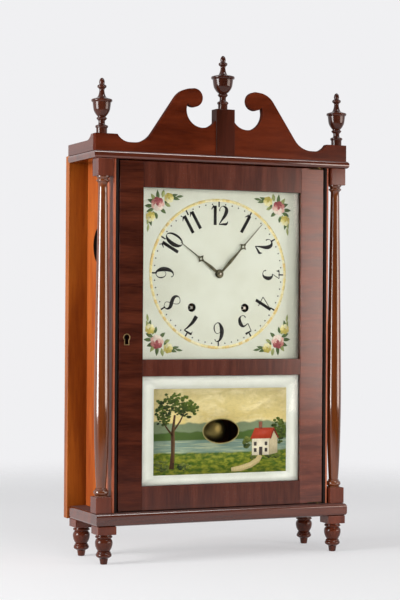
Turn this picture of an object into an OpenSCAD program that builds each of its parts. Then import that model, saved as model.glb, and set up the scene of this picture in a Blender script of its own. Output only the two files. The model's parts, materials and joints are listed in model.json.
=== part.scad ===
// Pillar and scroll shelf clock: a veneered case with a glazed door, two slim columns,
// a scroll pediment with urn finials, and a weight-driven movement with a short pendulum.
// Millimetres. +X is the viewer's right, the front faces -Y, +Z is up.
// The origin is on the floor, under the middle of the whole clock.

/* [Case] */
// Width of the base board
base_w = 430; // [400:1:460]
// Overhang of the base board in front of the case
base_front = 13; // [9:0.5:20]
// Thickness of the base board
base_t = 19.5; // [16:0.5:23]
// Overhang of the top board beyond each end of the base board
top_over = 4.5; // [0:0.5:12]
// Overhang of the top board in front of the case
top_front = 7; // [5:0.5:14]
// Thickness of the top board
top_t = 12; // [9:0.5:16]
// Overhang of the backboard beyond each end of the base board
back_over = 2.5; // [0:0.5:10]
// Thickness of the backboard
back_t = 15; // [10:1:20]
// Inset of the case box from each end of the base board
case_in = 29; // [28:0.5:40]
// Clear height of the case box, base board to top board
case_h = 539.5; // [500:0.5:590]
// Thickness of a case side
side_t = 9; // [8:0.5:11]
// Rounding of the case side's front corners
side_bead_r = 2.5; // [1:0.5:4]
// Radius of the round hole in each case side
side_hole_r = 30; // [20:1:34]
// Height of the side hole above the base board
side_hole_z = 409; // [380:1:430]
// Rounding of the board edges
edge_r = 5; // [2:0.5:6]

/* [Feet] */
// Height of a turned foot
foot_h = 58; // [50:1:75]
// Side of the square block on top of a foot
foot_block = 30; // [27:1:34]
// Height of that block
foot_block_h = 12.5; // [8:0.5:16]
// Inset of the foot centres from the sides of the base board
foot_in_x = 18; // [18:1:30]
// Inset of the front feet's centres from the front of the base board
foot_in_y = 16; // [15:1:28]
// Inset of the back feet's centres from the back of the base board
foot_back_in = 11; // [9:1:28]

/* [Columns] */
// Side of the plinth and capital blocks
block_w = 25; // [22:0.5:26]
// Height of a plinth block
plinth_h = 25; // [20:0.5:32]
// Height of a capital block
capital_h = 27; // [20:0.5:32]
// Inset of the column centres from the side of the base board
column_in_x = 14.4; // [13.5:0.1:15.5]
// Distance of the column centres behind the case front
column_back = 7; // [5:0.5:14]
// Widest radius of a column shaft
shaft_r = 11.6; // [9:0.1:12]
// Radius of a column shaft under its neck
shaft_top_r = 6.9; // [6:0.1:8]

/* [Pediment] */
// Thickness of the scroll board
scroll_t = 11; // [8:0.5:13]
// Distance of the scroll board's front behind the middle plinth's front
scroll_back = 2; // [1:0.5:8]
// Height of the scrolls
scroll_h = 102.5; // [99:0.5:106]
// Distance of the scroll tops from the middle
scroll_top_x = 57; // [55:0.5:59]
// Radius of the scroll's shoulder
shoulder_r = 33; // [31:0.5:35]
// Radius of the scroll's curled end
curl_r = 14.6; // [14:0.1:15.4]
// Radius of the hollow between scroll and middle plinth
hollow_r = 27.3; // [26.5:0.1:28]
// Radius of the sweep at the scroll's foot
sweep_r = 36; // [33:0.5:38]
// Height of the board at its lowest place
scroll_low = 14.2; // [10:0.2:16]
// Setback of the scroll board and the returns from the ends of the top board
corner_in = 3; // [0:0.5:8]
// Width of the flat at each end of the scroll board
corner_w = 36; // [33:0.5:38]
// Depth of the pediment's corners at full height
corner_d = 20; // [19:0.5:26]
// Height of the pediment's corners
corner_h = 26; // [24:0.5:30]
// Radius of the coves beside the corners
cove_r = 24.5; // [20:0.5:28]
// Width of the middle plinth
mid_w = 32; // [28:0.5:34]
// Height of the middle plinth
mid_h = 73; // [66:0.5:80]
// Distance of the middle plinth's front in front of the case front
block_front = 3.5; // [1:0.5:6]
// Thickness of a side return
return_t = 8; // [6:0.5:11]
// Height of a side return behind its cove
return_h = 17.5; // [12:0.5:20]
// Height of an urn finial
finial_h = 85; // [75:0.5:92]
// Widest radius of an urn finial on a corner
finial_r = 16.25; // [14:0.25:18]
// Widest radius of the urn finial on the middle plinth
mid_finial_r = 18.75; // [16:0.25:20]
// Inset of the corner finials from the ends of the scroll board
finial_in = 13.5; // [10:0.5:16]

/* [Door] */
// Gap round the door
door_gap = 1.5; // [1:0.1:2]
// Thickness of the door frame
door_t = 18; // [15:0.5:22]
// Width of the door's stiles
stile_w = 39.5; // [36:0.5:42]
// Height of the bottom rail
bottom_rail_h = 37; // [30:0.5:44]
// Height of the middle rail
middle_rail_h = 26; // [22:0.5:34]
// Height of the top rail
top_rail_h = 40; // [34:0.5:46]
// Height of the upper opening
upper_h = 265; // [240:0.5:290]
// Thickness of the glass
glass_t = 2; // [1.5:0.1:3]
// Depth of the glass behind the door's front
glass_in = 4.5; // [4:0.5:7.5]
// Width of the rabbet that holds the glass
rabbet = 6; // [4:0.5:9]
// Radius of a door pivot pin
pivot_r = 2; // [1.5:0.1:3]
// Distance of the pivot from the door's right edge
pivot_in_x = 6; // [5:0.25:8]
// Distance of the pivot behind the door's front
pivot_in_y = 4; // [3.5:0.25:5]
// Length of a pivot plate
pivot_plate_l = 26; // [18:0.5:32]
// Depth of a pivot plate
pivot_plate_d = 12; // [9:0.5:16]
// Thickness of a pivot plate
pivot_plate_t = 1.6; // [1:0.1:2.5]
// Height of the keyhole above the base board
keyhole_z = 264; // [240:1:300]
// Distance of the keyhole from the door's left edge
keyhole_in = 12.5; // [12:0.5:15]
// Travel of the lock's bolt
bolt_throw = 6; // [3:0.5:7]

/* [Dial] */
// Gap between the dial board and each case side
dial_side = 12; // [4:0.5:20]
// Height of the dial board
dial_h = 292; // [285:1:296]
// Thickness of the dial board
dial_t = 8; // [6:0.5:11]
// Gap between door and dial
dial_gap = 1.5; // [1:0.1:3]
// Distance of the dial's centre below the top board
dial_drop = 172.6; // [160:0.1:185]
// Distance of the winding holes from the middle
wind_x = 46; // [43:0.5:50]
// Distance of the winding holes below the dial's centre
wind_drop = 53.4; // [51:0.1:58]
// Radius of a winding hole
wind_r = 6.75; // [5.5:0.25:8]
// Length of the minute hand, centre to tip
minute_l = 109; // [95:1:112]
// Length of the hour hand, centre to tip
hour_l = 83; // [70:1:86]
// Time the minute hand shows, in minutes
minute_at = 7.1; // [0:0.1:59.9]
// Time the hour hand shows, in hours
hour_at = 10.2; // [0:0.1:11.9]

/* [Movement] */
// Width of the movement plates
plate_w = 248; // [230:1:260]
// Height of the movement plates
plate_h = 196; // [180:1:210]
// Thickness of a movement plate
plate_t = 8; // [6:0.5:10]
// Distance of the dial's centre above the plates' lower edge
plate_drop = 124.4; // [115:0.2:135]
// Length of the drums between the plates
drum_l = 18; // [15:0.5:22]
// Gap between the dial and the bridge in front of the movement
bridge_gap = 1.5; // [1:0.1:4]
// Thickness of the battens behind the movement
batten_t = 8.5; // [6:0.1:12]
// Radius of the wheel arbors
arbor_r = 1.6; // [1.2:0.1:1.8]
// Radius of the winding arbors
wind_arbor_r = 3; // [2.5:0.1:3.4]
// Module of the centre wheel
centre_m = 1; // [0.98:0.01:1.02]
// Module of the third wheel
third_m = 0.8; // [0.78:0.01:0.82]
// Radius of the escape wheel
escape_r = 17; // [15:0.1:17.5]
// Distance of the verge below the dial's centre
verge_drop = 64.55; // [63:0.05:66]
// Length of the pendulum, pivot to the middle of the bob
pendulum_l = 182.6; // [165:0.1:200]
// Radius of the pendulum bob
bob_r = 20; // [16:0.5:24]
// Thickness of the pendulum bob
bob_t = 9; // [7:0.5:9]
// Module of the motion work
motion_m = 0.85; // [0.8:0.01:0.9]
// Module of the striking great wheel
strike_m = 0.78; // [0.76:0.01:0.8]
// Radius of the bell
bell_r = 29; // [24:0.5:31]

/* [Weights] */
// Radius of a weight
weight_r = 19; // [16:0.5:20]
// Height of a weight
weight_h = 110; // [90:1:120]
// Rest height of a weight above the base board
weight_z = 10; // [4:1:16]
// Radius of the going side's drum
time_drum_r = 14.6; // [12:0.1:16]
// Radius of the striking side's drum
strike_drum_r = 22; // [18:0.1:23]
// Radius of a pulley at the bottom of its groove
pulley_r = 14; // [12:0.5:15]
// Radius of the cord
cord_r = 1; // [0.8:0.1:1.2]
// Gap between a weight and the case side
weight_side = 5; // [3:0.5:10]

/* [Fits] */
// Running clearance of a shaft in its hole
run_fit = 0.05; // [0.02:0.01:0.1]
// Clearance between moving neighbours
clear = 0.4; // [0.3:0.05:0.6]
// Clearance of a piece set loosely in a recess
seat_fit = 0.2; // [0.1:0.05:0.4]

/* [Hidden] */
$fn = 64;

// Room for the movement: the bridge in front of the plates, and the trains between them
bridge_out = 14.5;
drum_front = 24;
drum_back = 3;
plate_gap = drum_front + drum_l + drum_back;

// Widths, and depths that follow what the case holds
top_w = base_w + 2 * top_over;
back_w = base_w + 2 * back_over;
case_w = base_w - 2 * case_in;
case_d = door_t + dial_gap + dial_t + bridge_gap + bridge_out + 2 * plate_t + plate_gap + batten_t;
base_d = case_d + base_front;
top_d = case_d + top_front;

// Main planes of the case
front_y = -(base_d + back_t) / 2;
back_y = front_y + base_d;
floor_z = foot_h + base_t;
roof_z = floor_z + case_h;
cornice_z = roof_z + top_t;
inner_x = case_w / 2 - side_t;
case_y = back_y - case_d;
hole_y = case_y + case_d / 2;
block_y = case_y - block_front;
scroll_y = block_y + scroll_back;

// Door planes and openings
door_x = inner_x - door_gap;
door_z0 = floor_z + door_gap;
door_z1 = roof_z - door_gap;
door_back_y = case_y + door_t;
open_x = door_x - stile_w;
upper_z1 = door_z1 - top_rail_h;
upper_z0 = upper_z1 - upper_h;
tablet_z0 = door_z0 + bottom_rail_h;
tablet_z1 = upper_z0 - middle_rail_h;
glass_y = case_y + glass_in;
glass_back_y = glass_y + glass_t;
pivot_x = door_x - pivot_in_x;
pivot_y = case_y + pivot_in_y;
pivot_depth = 8;
key_x = -door_x + keyhole_in;
key_z = floor_z + keyhole_z;

// Lock
lock_w = 22;
lock_h = 36;
lock_in = 3;
lock_d = 11;
bolt_w = 16;
bolt_h = 8;
bolt_t = 4;
bolt_back = 4;

// Dial and hands
dial_y = door_back_y + dial_gap;
dial_back_y = dial_y + dial_t;
dial_w = 2 * (inner_x - dial_side);
centre = [0, roof_z - dial_drop];
hand_t = 0.8;
hour_hand_y = dial_y - 3.2;
minute_hand_y = hour_hand_y - 2.6;
hour_pipe_r = 4;
dial_hole_r = hour_pipe_r + 1.5;

// Movement planes, from the backboard forward
back_plate_y = back_y - batten_t - plate_t;
front_plate_y = back_plate_y - plate_gap - plate_t;
plate_z0 = centre[1] - plate_drop;
between_y = front_plate_y + plate_t;
pillar_r = 6;
pillar_in = 8;

// Tooth counts
great_n = 64;
leaf_n = 8;
centre_n = 64;
third_n = 63;
escape_leaf_n = 6;
escape_n = 50;
cannon_n = 12;
minute_n = 36;
minute_leaf_n = 10;
hour_n = 40;
strike_n = 78;
strike_leaf_n = 6;
pin_n = 60;
pin_m = 0.9;
warning_n = 48;
warning_m = 0.8;

// Arbor places in the plane of the plates, as [x, z]
function mesh(n1, n2, m) = (n1 + n2) * m / 2;
function polar(p, d, a) = p + d * [cos(a), sin(a)];
function heading(p, q) = atan2(q[1] - p[1], q[0] - p[0]);
// The point at distance ra from a and rb from b, on the right of the way from a to b
function meet(a, ra, b, rb) =
    let (d = norm(b - a),
         f = (d * d + ra * ra - rb * rb) / (2 * d),
         h = sqrt(ra * ra - f * f),
         u = (b - a) / d)
    a + f * u + h * [u[1], -u[0]];
time_at = [wind_x, centre[1] - wind_drop];
strike_at = [-wind_x, centre[1] - wind_drop];
great_m = 2 * norm(time_at - centre) / (great_n + leaf_n);
verge_at = centre - [0, verge_drop];
bob_z = verge_at[1] - pendulum_l;
pallet_gap = 22.9;
escape_at = verge_at + [0, pallet_gap];
third_at = meet(centre, mesh(centre_n, leaf_n, centre_m),
                escape_at, mesh(third_n, escape_leaf_n, third_m));
motion_d = mesh(cannon_n, minute_n, motion_m);
hour_m = 2 * motion_d / (minute_leaf_n + hour_n);
minute_at_xz = centre + [0, motion_d];
pin_at = polar(strike_at, mesh(strike_n, strike_leaf_n, strike_m), 190);
warning_at = polar(pin_at, mesh(pin_n, strike_leaf_n, pin_m), 138);
fly_at = polar(warning_at, mesh(warning_n, strike_leaf_n, warning_m), 100);
hammer_at = centre + [-60, 50];

// Levels of the wheels, each as [front, back]
third_lv = [front_plate_y - 3, front_plate_y - 1];
escape_lv = [front_plate_y - 6.5, front_plate_y - 5];
verge_lv = [front_plate_y - 7, front_plate_y - 4.5];
rod_y = front_plate_y - 10;
bridge_t = 1.8;
bridge_lv = [front_plate_y - bridge_out, front_plate_y - bridge_out + bridge_t];
cannon_lv = [front_plate_y - 3, front_plate_y - 1];
hour_lv = [front_plate_y - 6, front_plate_y - 4];
centre_lv = [between_y + 6, between_y + 9];
great_lv = [between_y + 12, between_y + 16];
strike_lv = [between_y + 18, between_y + 21];
pin_lv = [between_y + 11, between_y + 14];
warning_lv = [between_y + 26, between_y + 28];
tail_lv = [between_y + 14.6, between_y + 16.8];
drum_lv = [between_y + drum_front, between_y + drum_front + drum_l];
cord_y = (drum_lv[0] + drum_lv[1]) / 2;

// Pulleys, weights and cords
cord_ride = cord_r + 0.3;
pulley_lip = 2;
weight_x = inner_x - weight_side - weight_r;
pulley_x = weight_x - pulley_r - cord_ride;
pulley_z = roof_z - pulley_r - pulley_lip - 3;
pulley_t = 5;
weight_z0 = floor_z + weight_z;
weight_hook_h = 14;
weight_top = weight_z0 + weight_h + weight_hook_h;

// Points on a circle of radius r about c, from angle a0 to a1, n steps
function arc(c, r, a0, a1, n = 12) =
    [for (i = [0:n]) c + r * [cos(a0 + (a1 - a0) * i / n), sin(a0 + (a1 - a0) * i / n)]];

// A 2-D outline in x and z, made solid from y0 to y1
module slab(y0, y1) {
    translate([0, y1, 0])
        rotate([90, 0, 0])
            linear_extrude(y1 - y0)
                children();
}

// A round bar along Y
module bar_y(p, r, y0, y1) {
    slab(y0, y1)
        translate(p)
            circle(r);
}

// A box given by its low and high corners
module block(low, high) {
    translate(low)
        cube(high - low);
}

// One child at each side of the middle
module both_sides() {
    for (s = [0, 1])
        mirror([s, 0, 0])
            children();
}

// A turned piece standing at p, from a list of [radius, height]
module turned(p, profile) {
    translate(p)
        rotate_extrude()
            polygon(concat([[0, profile[0][1]]], profile, [[0, profile[len(profile) - 1][1]]]));
}

// A board with its front and side edges rounded, back edge square
module nosed_board(w, y0, y1, z0, t, r) {
    intersection() {
        slab(y0, y1)
            polygon(concat(arc([w / 2 - r, z0 + r], r, -90, 0, 6),
                           arc([w / 2 - r, z0 + t - r], r, 0, 90, 6),
                           arc([-w / 2 + r, z0 + t - r], r, 90, 180, 6),
                           arc([-w / 2 + r, z0 + r], r, 180, 270, 6)));
        translate([-w / 2, 0, 0])
            rotate([90, 0, 90])
                linear_extrude(w)
                    polygon(concat([[y1, z0], [y1, z0 + t]],
                                   arc([y0 + r, z0 + t - r], r, 90, 180, 6),
                                   arc([y0 + r, z0 + r], r, 180, 270, 6)));
    }
}

// Outline of a toothed wheel: straight-sided teeth, one of them pointing along angle a
module toothed(n, m, a, up, down, root_share, tip_share) {
    r = n * m / 2;
    step = 360 / n;
    rotate(a)
        polygon([for (i = [0:n - 1])
                 for (q = [[r - down * m, -root_share], [r + up * m, -tip_share],
                           [r + up * m, tip_share], [r - down * m, root_share]])
                 q[0] * [cos(i * step + q[1] * step / 2), sin(i * step + q[1] * step / 2)]]);
}

// A wheel's teeth, and the slim leaves of a pinion
module wheel_outline(n, m, a) {
    toothed(n, m, a, 0.85, 1.3, 0.6, 0.16);
}
module leaf_outline(n, m, a) {
    toothed(n, m, a, 0.6, 1.25, 0.5, 0.2);
}

// A wheel at p between two levels, with a tooth towards q and spokes crossed out
module wheel(p, q, n, m, lv, hub_r, tooth_turn = 0) {
    rim_r = n * m / 2 - 1.3 * m - 2.2 * m;
    slab(lv[0], lv[1])
        translate(p)
            difference() {
                wheel_outline(n, m, heading(p, q) + tooth_turn * 180 / n);
                if (rim_r > hub_r + 6)
                    for (k = [0:3])
                        rotate(45 + 90 * k)
                            intersection() {
                                difference() {
                                    circle(rim_r);
                                    circle(hub_r + 2.5);
                                }
                                translate([1.6 * 1.415, 0])
                                    rotate(-45)
                                        square(rim_r);
                            }
            }
}

// A pinion at p between two levels, with a gap towards its wheel at q
module pinion(p, q, n, m, lv) {
    slab(lv[0], lv[1])
        translate(p)
            leaf_outline(n, m, heading(p, q) + 180 / n);
}

// An arbor that runs in both plates
module arbor(p, r = arbor_r) {
    bar_y(p, r, front_plate_y + 1, back_plate_y + plate_t - 1);
}

// Base board, with a hole for the lower pivot pin
module base_board() {
    color("sienna")
        difference() {
            nosed_board(base_w, front_y, back_y, foot_h, base_t, edge_r);
            translate([pivot_x, pivot_y, floor_z - pivot_depth])
                cylinder(r = pivot_r + run_fit, h = pivot_depth + 1);
        }
}

// Four turned feet, each with its square block
module feet() {
    neck = foot_h - foot_block_h;
    ring_z = neck - 31.5;
    bulb_z = neck - 12.5;
    profile = concat([[4.9, 0], [5.5, 0.8], [6.6, ring_z - 5.5], [8.4, ring_z - 4.2]],
                     arc([8.6, ring_z], 3.6, -50, 50, 6),
                     arc([9.3, ring_z + 3.9], 1.5, -50, 70, 6),
                     arc([-8.3, bulb_z], 21.8, -38, 0, 6),
                     arc([5.95, bulb_z], 7.55, 10, 54, 5),
                     [[10.4, neck - 5.8]],
                     arc([11.4, neck - 3.8], 1.8, -80, 80, 6),
                     [[11.6, neck - 1.8], [11.6, neck]]);
    color("saddlebrown")
        for (x = [-1, 1])
            for (y = [front_y + foot_in_y, back_y - foot_back_in]) {
                p = [x * (base_w / 2 - foot_in_x), y, 0];
                turned(p, profile);
                translate(p + [-foot_block / 2, -foot_block / 2, neck])
                    cube([foot_block, foot_block, foot_block_h]);
            }
}

// Outline of a case side seen from above, for the right side
module side_plan() {
    r = side_bead_r;
    polygon(concat([[inner_x + side_t, back_y], [inner_x, back_y]],
                   arc([inner_x + r, case_y + r], r, 180, 270, 6),
                   arc([inner_x + side_t - r, case_y + r], r, 270, 360, 6)));
}

// A right-hand case side with its round hole
module case_side() {
    difference() {
        translate([0, 0, floor_z])
            linear_extrude(case_h)
                side_plan();
        translate([inner_x - 1, hole_y, floor_z + side_hole_z])
            rotate([0, 90, 0])
                cylinder(r = side_hole_r, h = side_t + 2);
    }
}

// Left case side, with a mortise for the lock's bolt
module left_case_side() {
    color("peru")
        difference() {
            mirror([1, 0, 0])
                case_side();
            block([-inner_x - bolt_throw - 1, bolt_y0 - clear, bolt_z0 - clear],
                  [-inner_x + 1, bolt_y0 + bolt_t + clear, bolt_z0 + bolt_h + clear]);
        }
}

module right_case_side() {
    color("peru")
        case_side();
}

// Backboard, behind the base board, the case and the top board
module backboard() {
    color("chocolate")
        block([-back_w / 2, back_y, foot_h], [back_w / 2, back_y + back_t, cornice_z]);
}

// Top board, with a hole for the upper pivot pin
module top_board() {
    color("sienna")
        difference() {
            nosed_board(top_w, back_y - top_d, back_y, roof_z, top_t, edge_r);
            translate([pivot_x, pivot_y, roof_z - 1])
                cylinder(r = pivot_r + run_fit, h = pivot_depth + 1);
        }
}

// Column centre on the right
column_p = [base_w / 2 - column_in_x, case_y + column_back];

// Two turned columns with a swelling shaft
module columns() {
    z0 = floor_z + plinth_h;
    z1 = roof_z - capital_h;
    base_h = 13;
    neck_h = 11;
    abacus_h = 1;
    foot_z = z0 + base_h;
    neck_z = z1 - neck_h;
    low_r = shaft_r - 4;
    widest = 0.28;
    steps = 20;
    shaft = [for (i = [0:steps])
             let (t = i / steps,
                  swell = low_r + (shaft_r - low_r) * pow(sin(min(1, t / widest) * 90), 0.8),
                  fall = (shaft_r - shaft_top_r) * pow(max(0, (t - widest) / (1 - widest)), 1.35))
             [swell - fall, foot_z + (neck_z - foot_z) * t]];
    profile = concat([[10.2, z0], [10.2, z0 + 1.5]],
                     arc([7, z0 + 6.4], 4.6, -68, 68, 10),
                     [[8.9, z0 + 11.2], [8.9, z0 + 12.2]],
                     shaft,
                     [[shaft_top_r + 1.8, neck_z + 2.6]],
                     arc([shaft_top_r + 1.4, neck_z + 4.4], 1.9, -60, 60, 5),
                     [[shaft_top_r + 1.2, neck_z + 6.4], [shaft_top_r + 1.6, neck_z + 8],
                      [shaft_top_r + 3.6, z1 - abacus_h], [shaft_top_r + 3.6, z1]]);
    color("brown")
        both_sides()
            turned([column_p[0], column_p[1], 0], profile);
}

// Square plinths and capitals of the columns
module column_blocks() {
    half = block_w / 2;
    color("saddlebrown")
        both_sides()
            for (z = [[floor_z, floor_z + plinth_h], [roof_z - capital_h, roof_z]])
                block([column_p[0] - half, column_p[1] - half, z[0]],
                      [column_p[0] + half, column_p[1] + half, z[1]]);
}

// Right half of the scroll board's outline, above the top board
corner_x1 = top_w / 2 - corner_in;
corner_x0 = corner_x1 - corner_w;
curl_c = [scroll_top_x - 4, scroll_h - curl_r + 0.6];
hollow_c = [38.5, scroll_h - 33];
shoulder_c = [scroll_top_x, scroll_h - shoulder_r];
slope = 56;
hollow_end = -145;
sweep_h = scroll_low + sweep_r;
// The sweep's centre lies so that one straight line touches sweep and shoulder
line_l = (shoulder_c[1] - sweep_h + (shoulder_r + sweep_r) * cos(slope)) / sin(slope);
sweep_c = [shoulder_c[0] + (shoulder_r + sweep_r) * sin(slope) + line_l * cos(slope), sweep_h];
cusp = meet(hollow_c, hollow_r, curl_c, curl_r);
// Turn and width of the cove between the corner and the lowest place
cove_turn = acos(1 - (corner_h - scroll_low) / cove_r);
cove_w = cove_r * sin(cove_turn);
half_scroll = concat([[corner_x1, 0], [corner_x1, corner_h]],
                     arc([corner_x0 - cove_w, scroll_low + cove_r], cove_r, 270 + cove_turn, 270, 8),
                     arc(sweep_c, sweep_r, 270, 270 - slope, 12),
                     arc(shoulder_c, shoulder_r, 90 - slope, 86, 12),
                     arc(curl_c, curl_r, 90, heading(curl_c, cusp) + 360, 24),
                     arc(hollow_c, hollow_r, heading(hollow_c, cusp) - 1, hollow_end, 24));
function flip(points) = [for (i = [len(points) - 1:-1:0]) [-points[i][0], points[i][1]]];
// Height of the scroll board behind the middle plinth
hollow_top = hollow_c[1] + hollow_r * sin(hollow_end);

// Pediment board, sawn to two scrolls
module scroll_board() {
    color("saddlebrown")
        translate([0, 0, cornice_z])
            slab(scroll_y, scroll_y + scroll_t)
                polygon(concat(half_scroll, flip(half_scroll)));
}

// Side returns of the pediment, as high as its corners in front, low behind a cove
module scroll_returns() {
    over = 8;
    turn = acos(1 - (corner_h - return_h) / cove_r);
    y0 = scroll_y + scroll_t;
    y1 = back_y + over;
    cove_y = scroll_y + corner_d + cove_r * sin(turn);
    color("saddlebrown")
        both_sides()
            translate([corner_x1 - return_t, 0, cornice_z])
                rotate([90, 0, 90])
                    linear_extrude(return_t)
                        polygon(concat([[y0, 0], [y1, 0], [y1, return_h]],
                                       arc([cove_y, return_h + cove_r], cove_r, 270, 270 - turn, 8),
                                       [[y0, corner_h]]));
}

// Middle plinth, and the blocks in the corners under the finials
module pediment_blocks() {
    mid_back = 6;
    corner_block_w = 16;
    return_x = corner_x1 - return_t;
    color("saddlebrown") {
        difference() {
            block([-mid_w / 2, block_y, cornice_z],
                  [mid_w / 2, scroll_y + scroll_t + mid_back, cornice_z + mid_h]);
            block([-mid_w / 2 - 1, scroll_y, cornice_z - 1],
                  [mid_w / 2 + 1, scroll_y + scroll_t, cornice_z + hollow_top]);
        }
        both_sides()
            block([return_x - corner_block_w, scroll_y + scroll_t, cornice_z],
                  [return_x, scroll_y + corner_d, cornice_z + corner_h]);
    }
}

// Outline of an urn finial: a collar, a neck, a cup under its lid and a bud
function finial_outline(r, collar_r) =
    let (
        top = finial_h,
        lid = top - 33,
        cup_z = 26,
        cup_h = lid - 4.6 - cup_z,
        cup = [[0.38, 0], [0.53, 0.12], [0.68, 0.3], [0.77, 0.46], [0.81, 0.63], [0.845, 0.84], [0.86, 1]]
    )
    concat([[collar_r, 0], [collar_r, 8.2], [collar_r + 0.9, 8.8], [collar_r + 1.5, 10.4]],
           [[collar_r + 0.8, 12.2], [6.6, 13.2], [5.2, 15], [5.1, 19.4]],
           [[6.6, 20.8], [8, 22.6], [7.8, 24], [6.2, 25.2]],
           [for (q = cup) [r * q[0], cup_z + cup_h * q[1]]],
           [[r - 0.7, lid - 3.6], [r, lid - 1.8], [r - 0.5, lid]],
           [[r - 3, lid + 1], [8.5, lid + 2.4], [6.4, lid + 4.4], [5, lid + 7.5]],
           [[4.2, lid + 11], [3.8, lid + 14.6], [4.6, lid + 16.6], [6.4, lid + 17.8]],
           [[7.1, lid + 19.6], [6.6, lid + 21.4], [4.4, lid + 22.8], [3.9, lid + 23.6]],
           [[4.3, lid + 26], [3.9, lid + 29.2], [2.6, lid + 31.8], [0.8, top]]);

// Urn finials on the pediment's corners and on the middle plinth
module finials() {
    corner_y = scroll_y + 9.4;
    mid_y = scroll_y + scroll_t - 1.5;
    color("brown") {
        turned([0, mid_y, cornice_z + mid_h], finial_outline(mid_finial_r, 7.5));
        both_sides()
            turned([corner_x1 - finial_in, corner_y, cornice_z + corner_h], finial_outline(finial_r, 8.4));
    }
}

// Battens glued inside: behind the dial at the sides, and on the backboard for the movement
module case_battens() {
    cleat_w = inner_x - dial_w / 2 + 8;
    cleat_d = 10;
    rail_w = 24;
    color("burlywood")
        both_sides() {
            block([inner_x - cleat_w, dial_back_y, centre[1] - dial_h / 2],
                  [inner_x, dial_back_y + cleat_d, centre[1] + dial_h / 2]);
            block([plate_w / 2 - rail_w - 4, back_y - batten_t, plate_z0],
                  [plate_w / 2 - 4, back_y, plate_z0 + plate_h]);
        }
}

// Painted wooden dial with its centre hole and winding holes
module dial() {
    color("ivory")
        slab(dial_y, dial_back_y)
            difference() {
                translate(centre - [dial_w, dial_h] / 2)
                    square([dial_w, dial_h]);
                translate(centre)
                    circle(dial_hole_r);
                for (p = [time_at, strike_at])
                    translate(p)
                        circle(wind_r);
            }
}

// Outline of a movement plate, bored for the plain arbors and for the two winding arbors
module plate_outline(arbors) {
    difference() {
        translate([-plate_w / 2, plate_z0])
            square([plate_w, plate_h]);
        for (p = arbors)
            translate(p)
                circle(arbor_r + run_fit);
        for (p = [time_at, strike_at])
            translate(p)
                circle(wind_arbor_r + run_fit);
    }
}
train_arbors = [centre, third_at, pin_at, warning_at, fly_at, hammer_at];

module front_plate() {
    color("tan")
        slab(front_plate_y, front_plate_y + plate_t)
            plate_outline(train_arbors);
}

module back_plate() {
    color("tan")
        slab(back_plate_y, back_plate_y + plate_t)
            plate_outline(train_arbors);
}

// Four turned pillars between the plates
module plate_pillars() {
    r = pillar_r;
    color("burlywood")
        both_sides()
            for (z = [plate_z0 + pillar_in + r, plate_z0 + plate_h - pillar_in - r])
                translate([plate_w / 2 - pillar_in, between_y, z])
                    rotate([-90, 0, 0])
                        rotate_extrude()
                            polygon([[0, 0], [r, 0], [r, 3], [r - 1.6, 5], [r - 1.6, plate_gap - 5],
                                     [r, plate_gap - 3], [r, plate_gap], [0, plate_gap]]);
}

// Brass bridge in front of the front plate, with the studs that stand on that plate
module front_bridge() {
    leg_r = 2;
    boss_r = 4.6;
    strip_w = 8;
    left_out = 27;
    left_down = 10;
    right_out = 26;
    right_up = 8;
    legs = [third_at - [left_out, left_down], escape_at + [right_out, right_up]];
    color("goldenrod") {
        difference() {
            slab(bridge_lv[0], bridge_lv[1])
                union() {
                    for (pair = [[legs[0], third_at], [third_at, escape_at], [escape_at, legs[1]]])
                        translate(pair[0])
                            rotate(heading(pair[0], pair[1]))
                                translate([0, -strip_w / 2])
                                    square([norm(pair[1] - pair[0]), strip_w]);
                    for (p = [legs[0], third_at, escape_at, legs[1]])
                        translate(p)
                            circle(boss_r);
                }
            for (p = [third_at, escape_at])
                bar_y(p, arbor_r + run_fit, bridge_lv[0] - 1, bridge_lv[1] + 1);
        }
        for (p = legs)
            bar_y(p, leg_r, bridge_lv[1], front_plate_y);
        bar_y(minute_at_xz, arbor_r, hour_lv[0] - 1, front_plate_y);
        bar_y(verge_at, arbor_r, rod_y - 3, front_plate_y);
    }
}

// Cast bell on its stand, above the movement
bell_at = [-6, cord_y - 12, plate_z0 + plate_h + 20];
bell_h = 24;
bell_wall = 2.4;
bell_bore = 2;
module bell() {
    r = bell_r;
    w = bell_wall;
    color("silver")
        translate(bell_at)
            rotate_extrude()
                polygon(concat([[bell_bore + run_fit, bell_h], [bell_bore + run_fit, bell_h - w]],
                               [for (i = [2:8]) [(r - 2 * w) * sin(i * 10), (bell_h - w) * cos(i * 10)]],
                               [[r - w, 0], [r, 0], [r, 1.6]],
                               [for (i = [8:-1:2]) [(r - w) * sin(i * 10), bell_h * cos(i * 10)]]));
}

// Iron arm on the backboard that carries the bell
module bell_stand() {
    arm_z = bell_at[2] + bell_h;
    arm_w = 9;
    y1 = back_y;
    color("dimgray") {
        difference() {
            block([bell_at[0] - arm_w / 2, bell_at[1] - arm_w / 2, arm_z],
                  [bell_at[0] + arm_w / 2, y1, arm_z + 3]);
            translate([bell_at[0], bell_at[1], arm_z - 1])
                cylinder(r = bell_bore, h = 5);
        }
        translate([bell_at[0], bell_at[1], arm_z - bell_wall - 2])
            cylinder(r = bell_bore, h = bell_wall + 2 + 3 + 3);
        translate([bell_at[0], bell_at[1], arm_z - bell_wall - 3])
            cylinder(r = bell_bore + 2, h = 2.6);
    }
}

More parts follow.
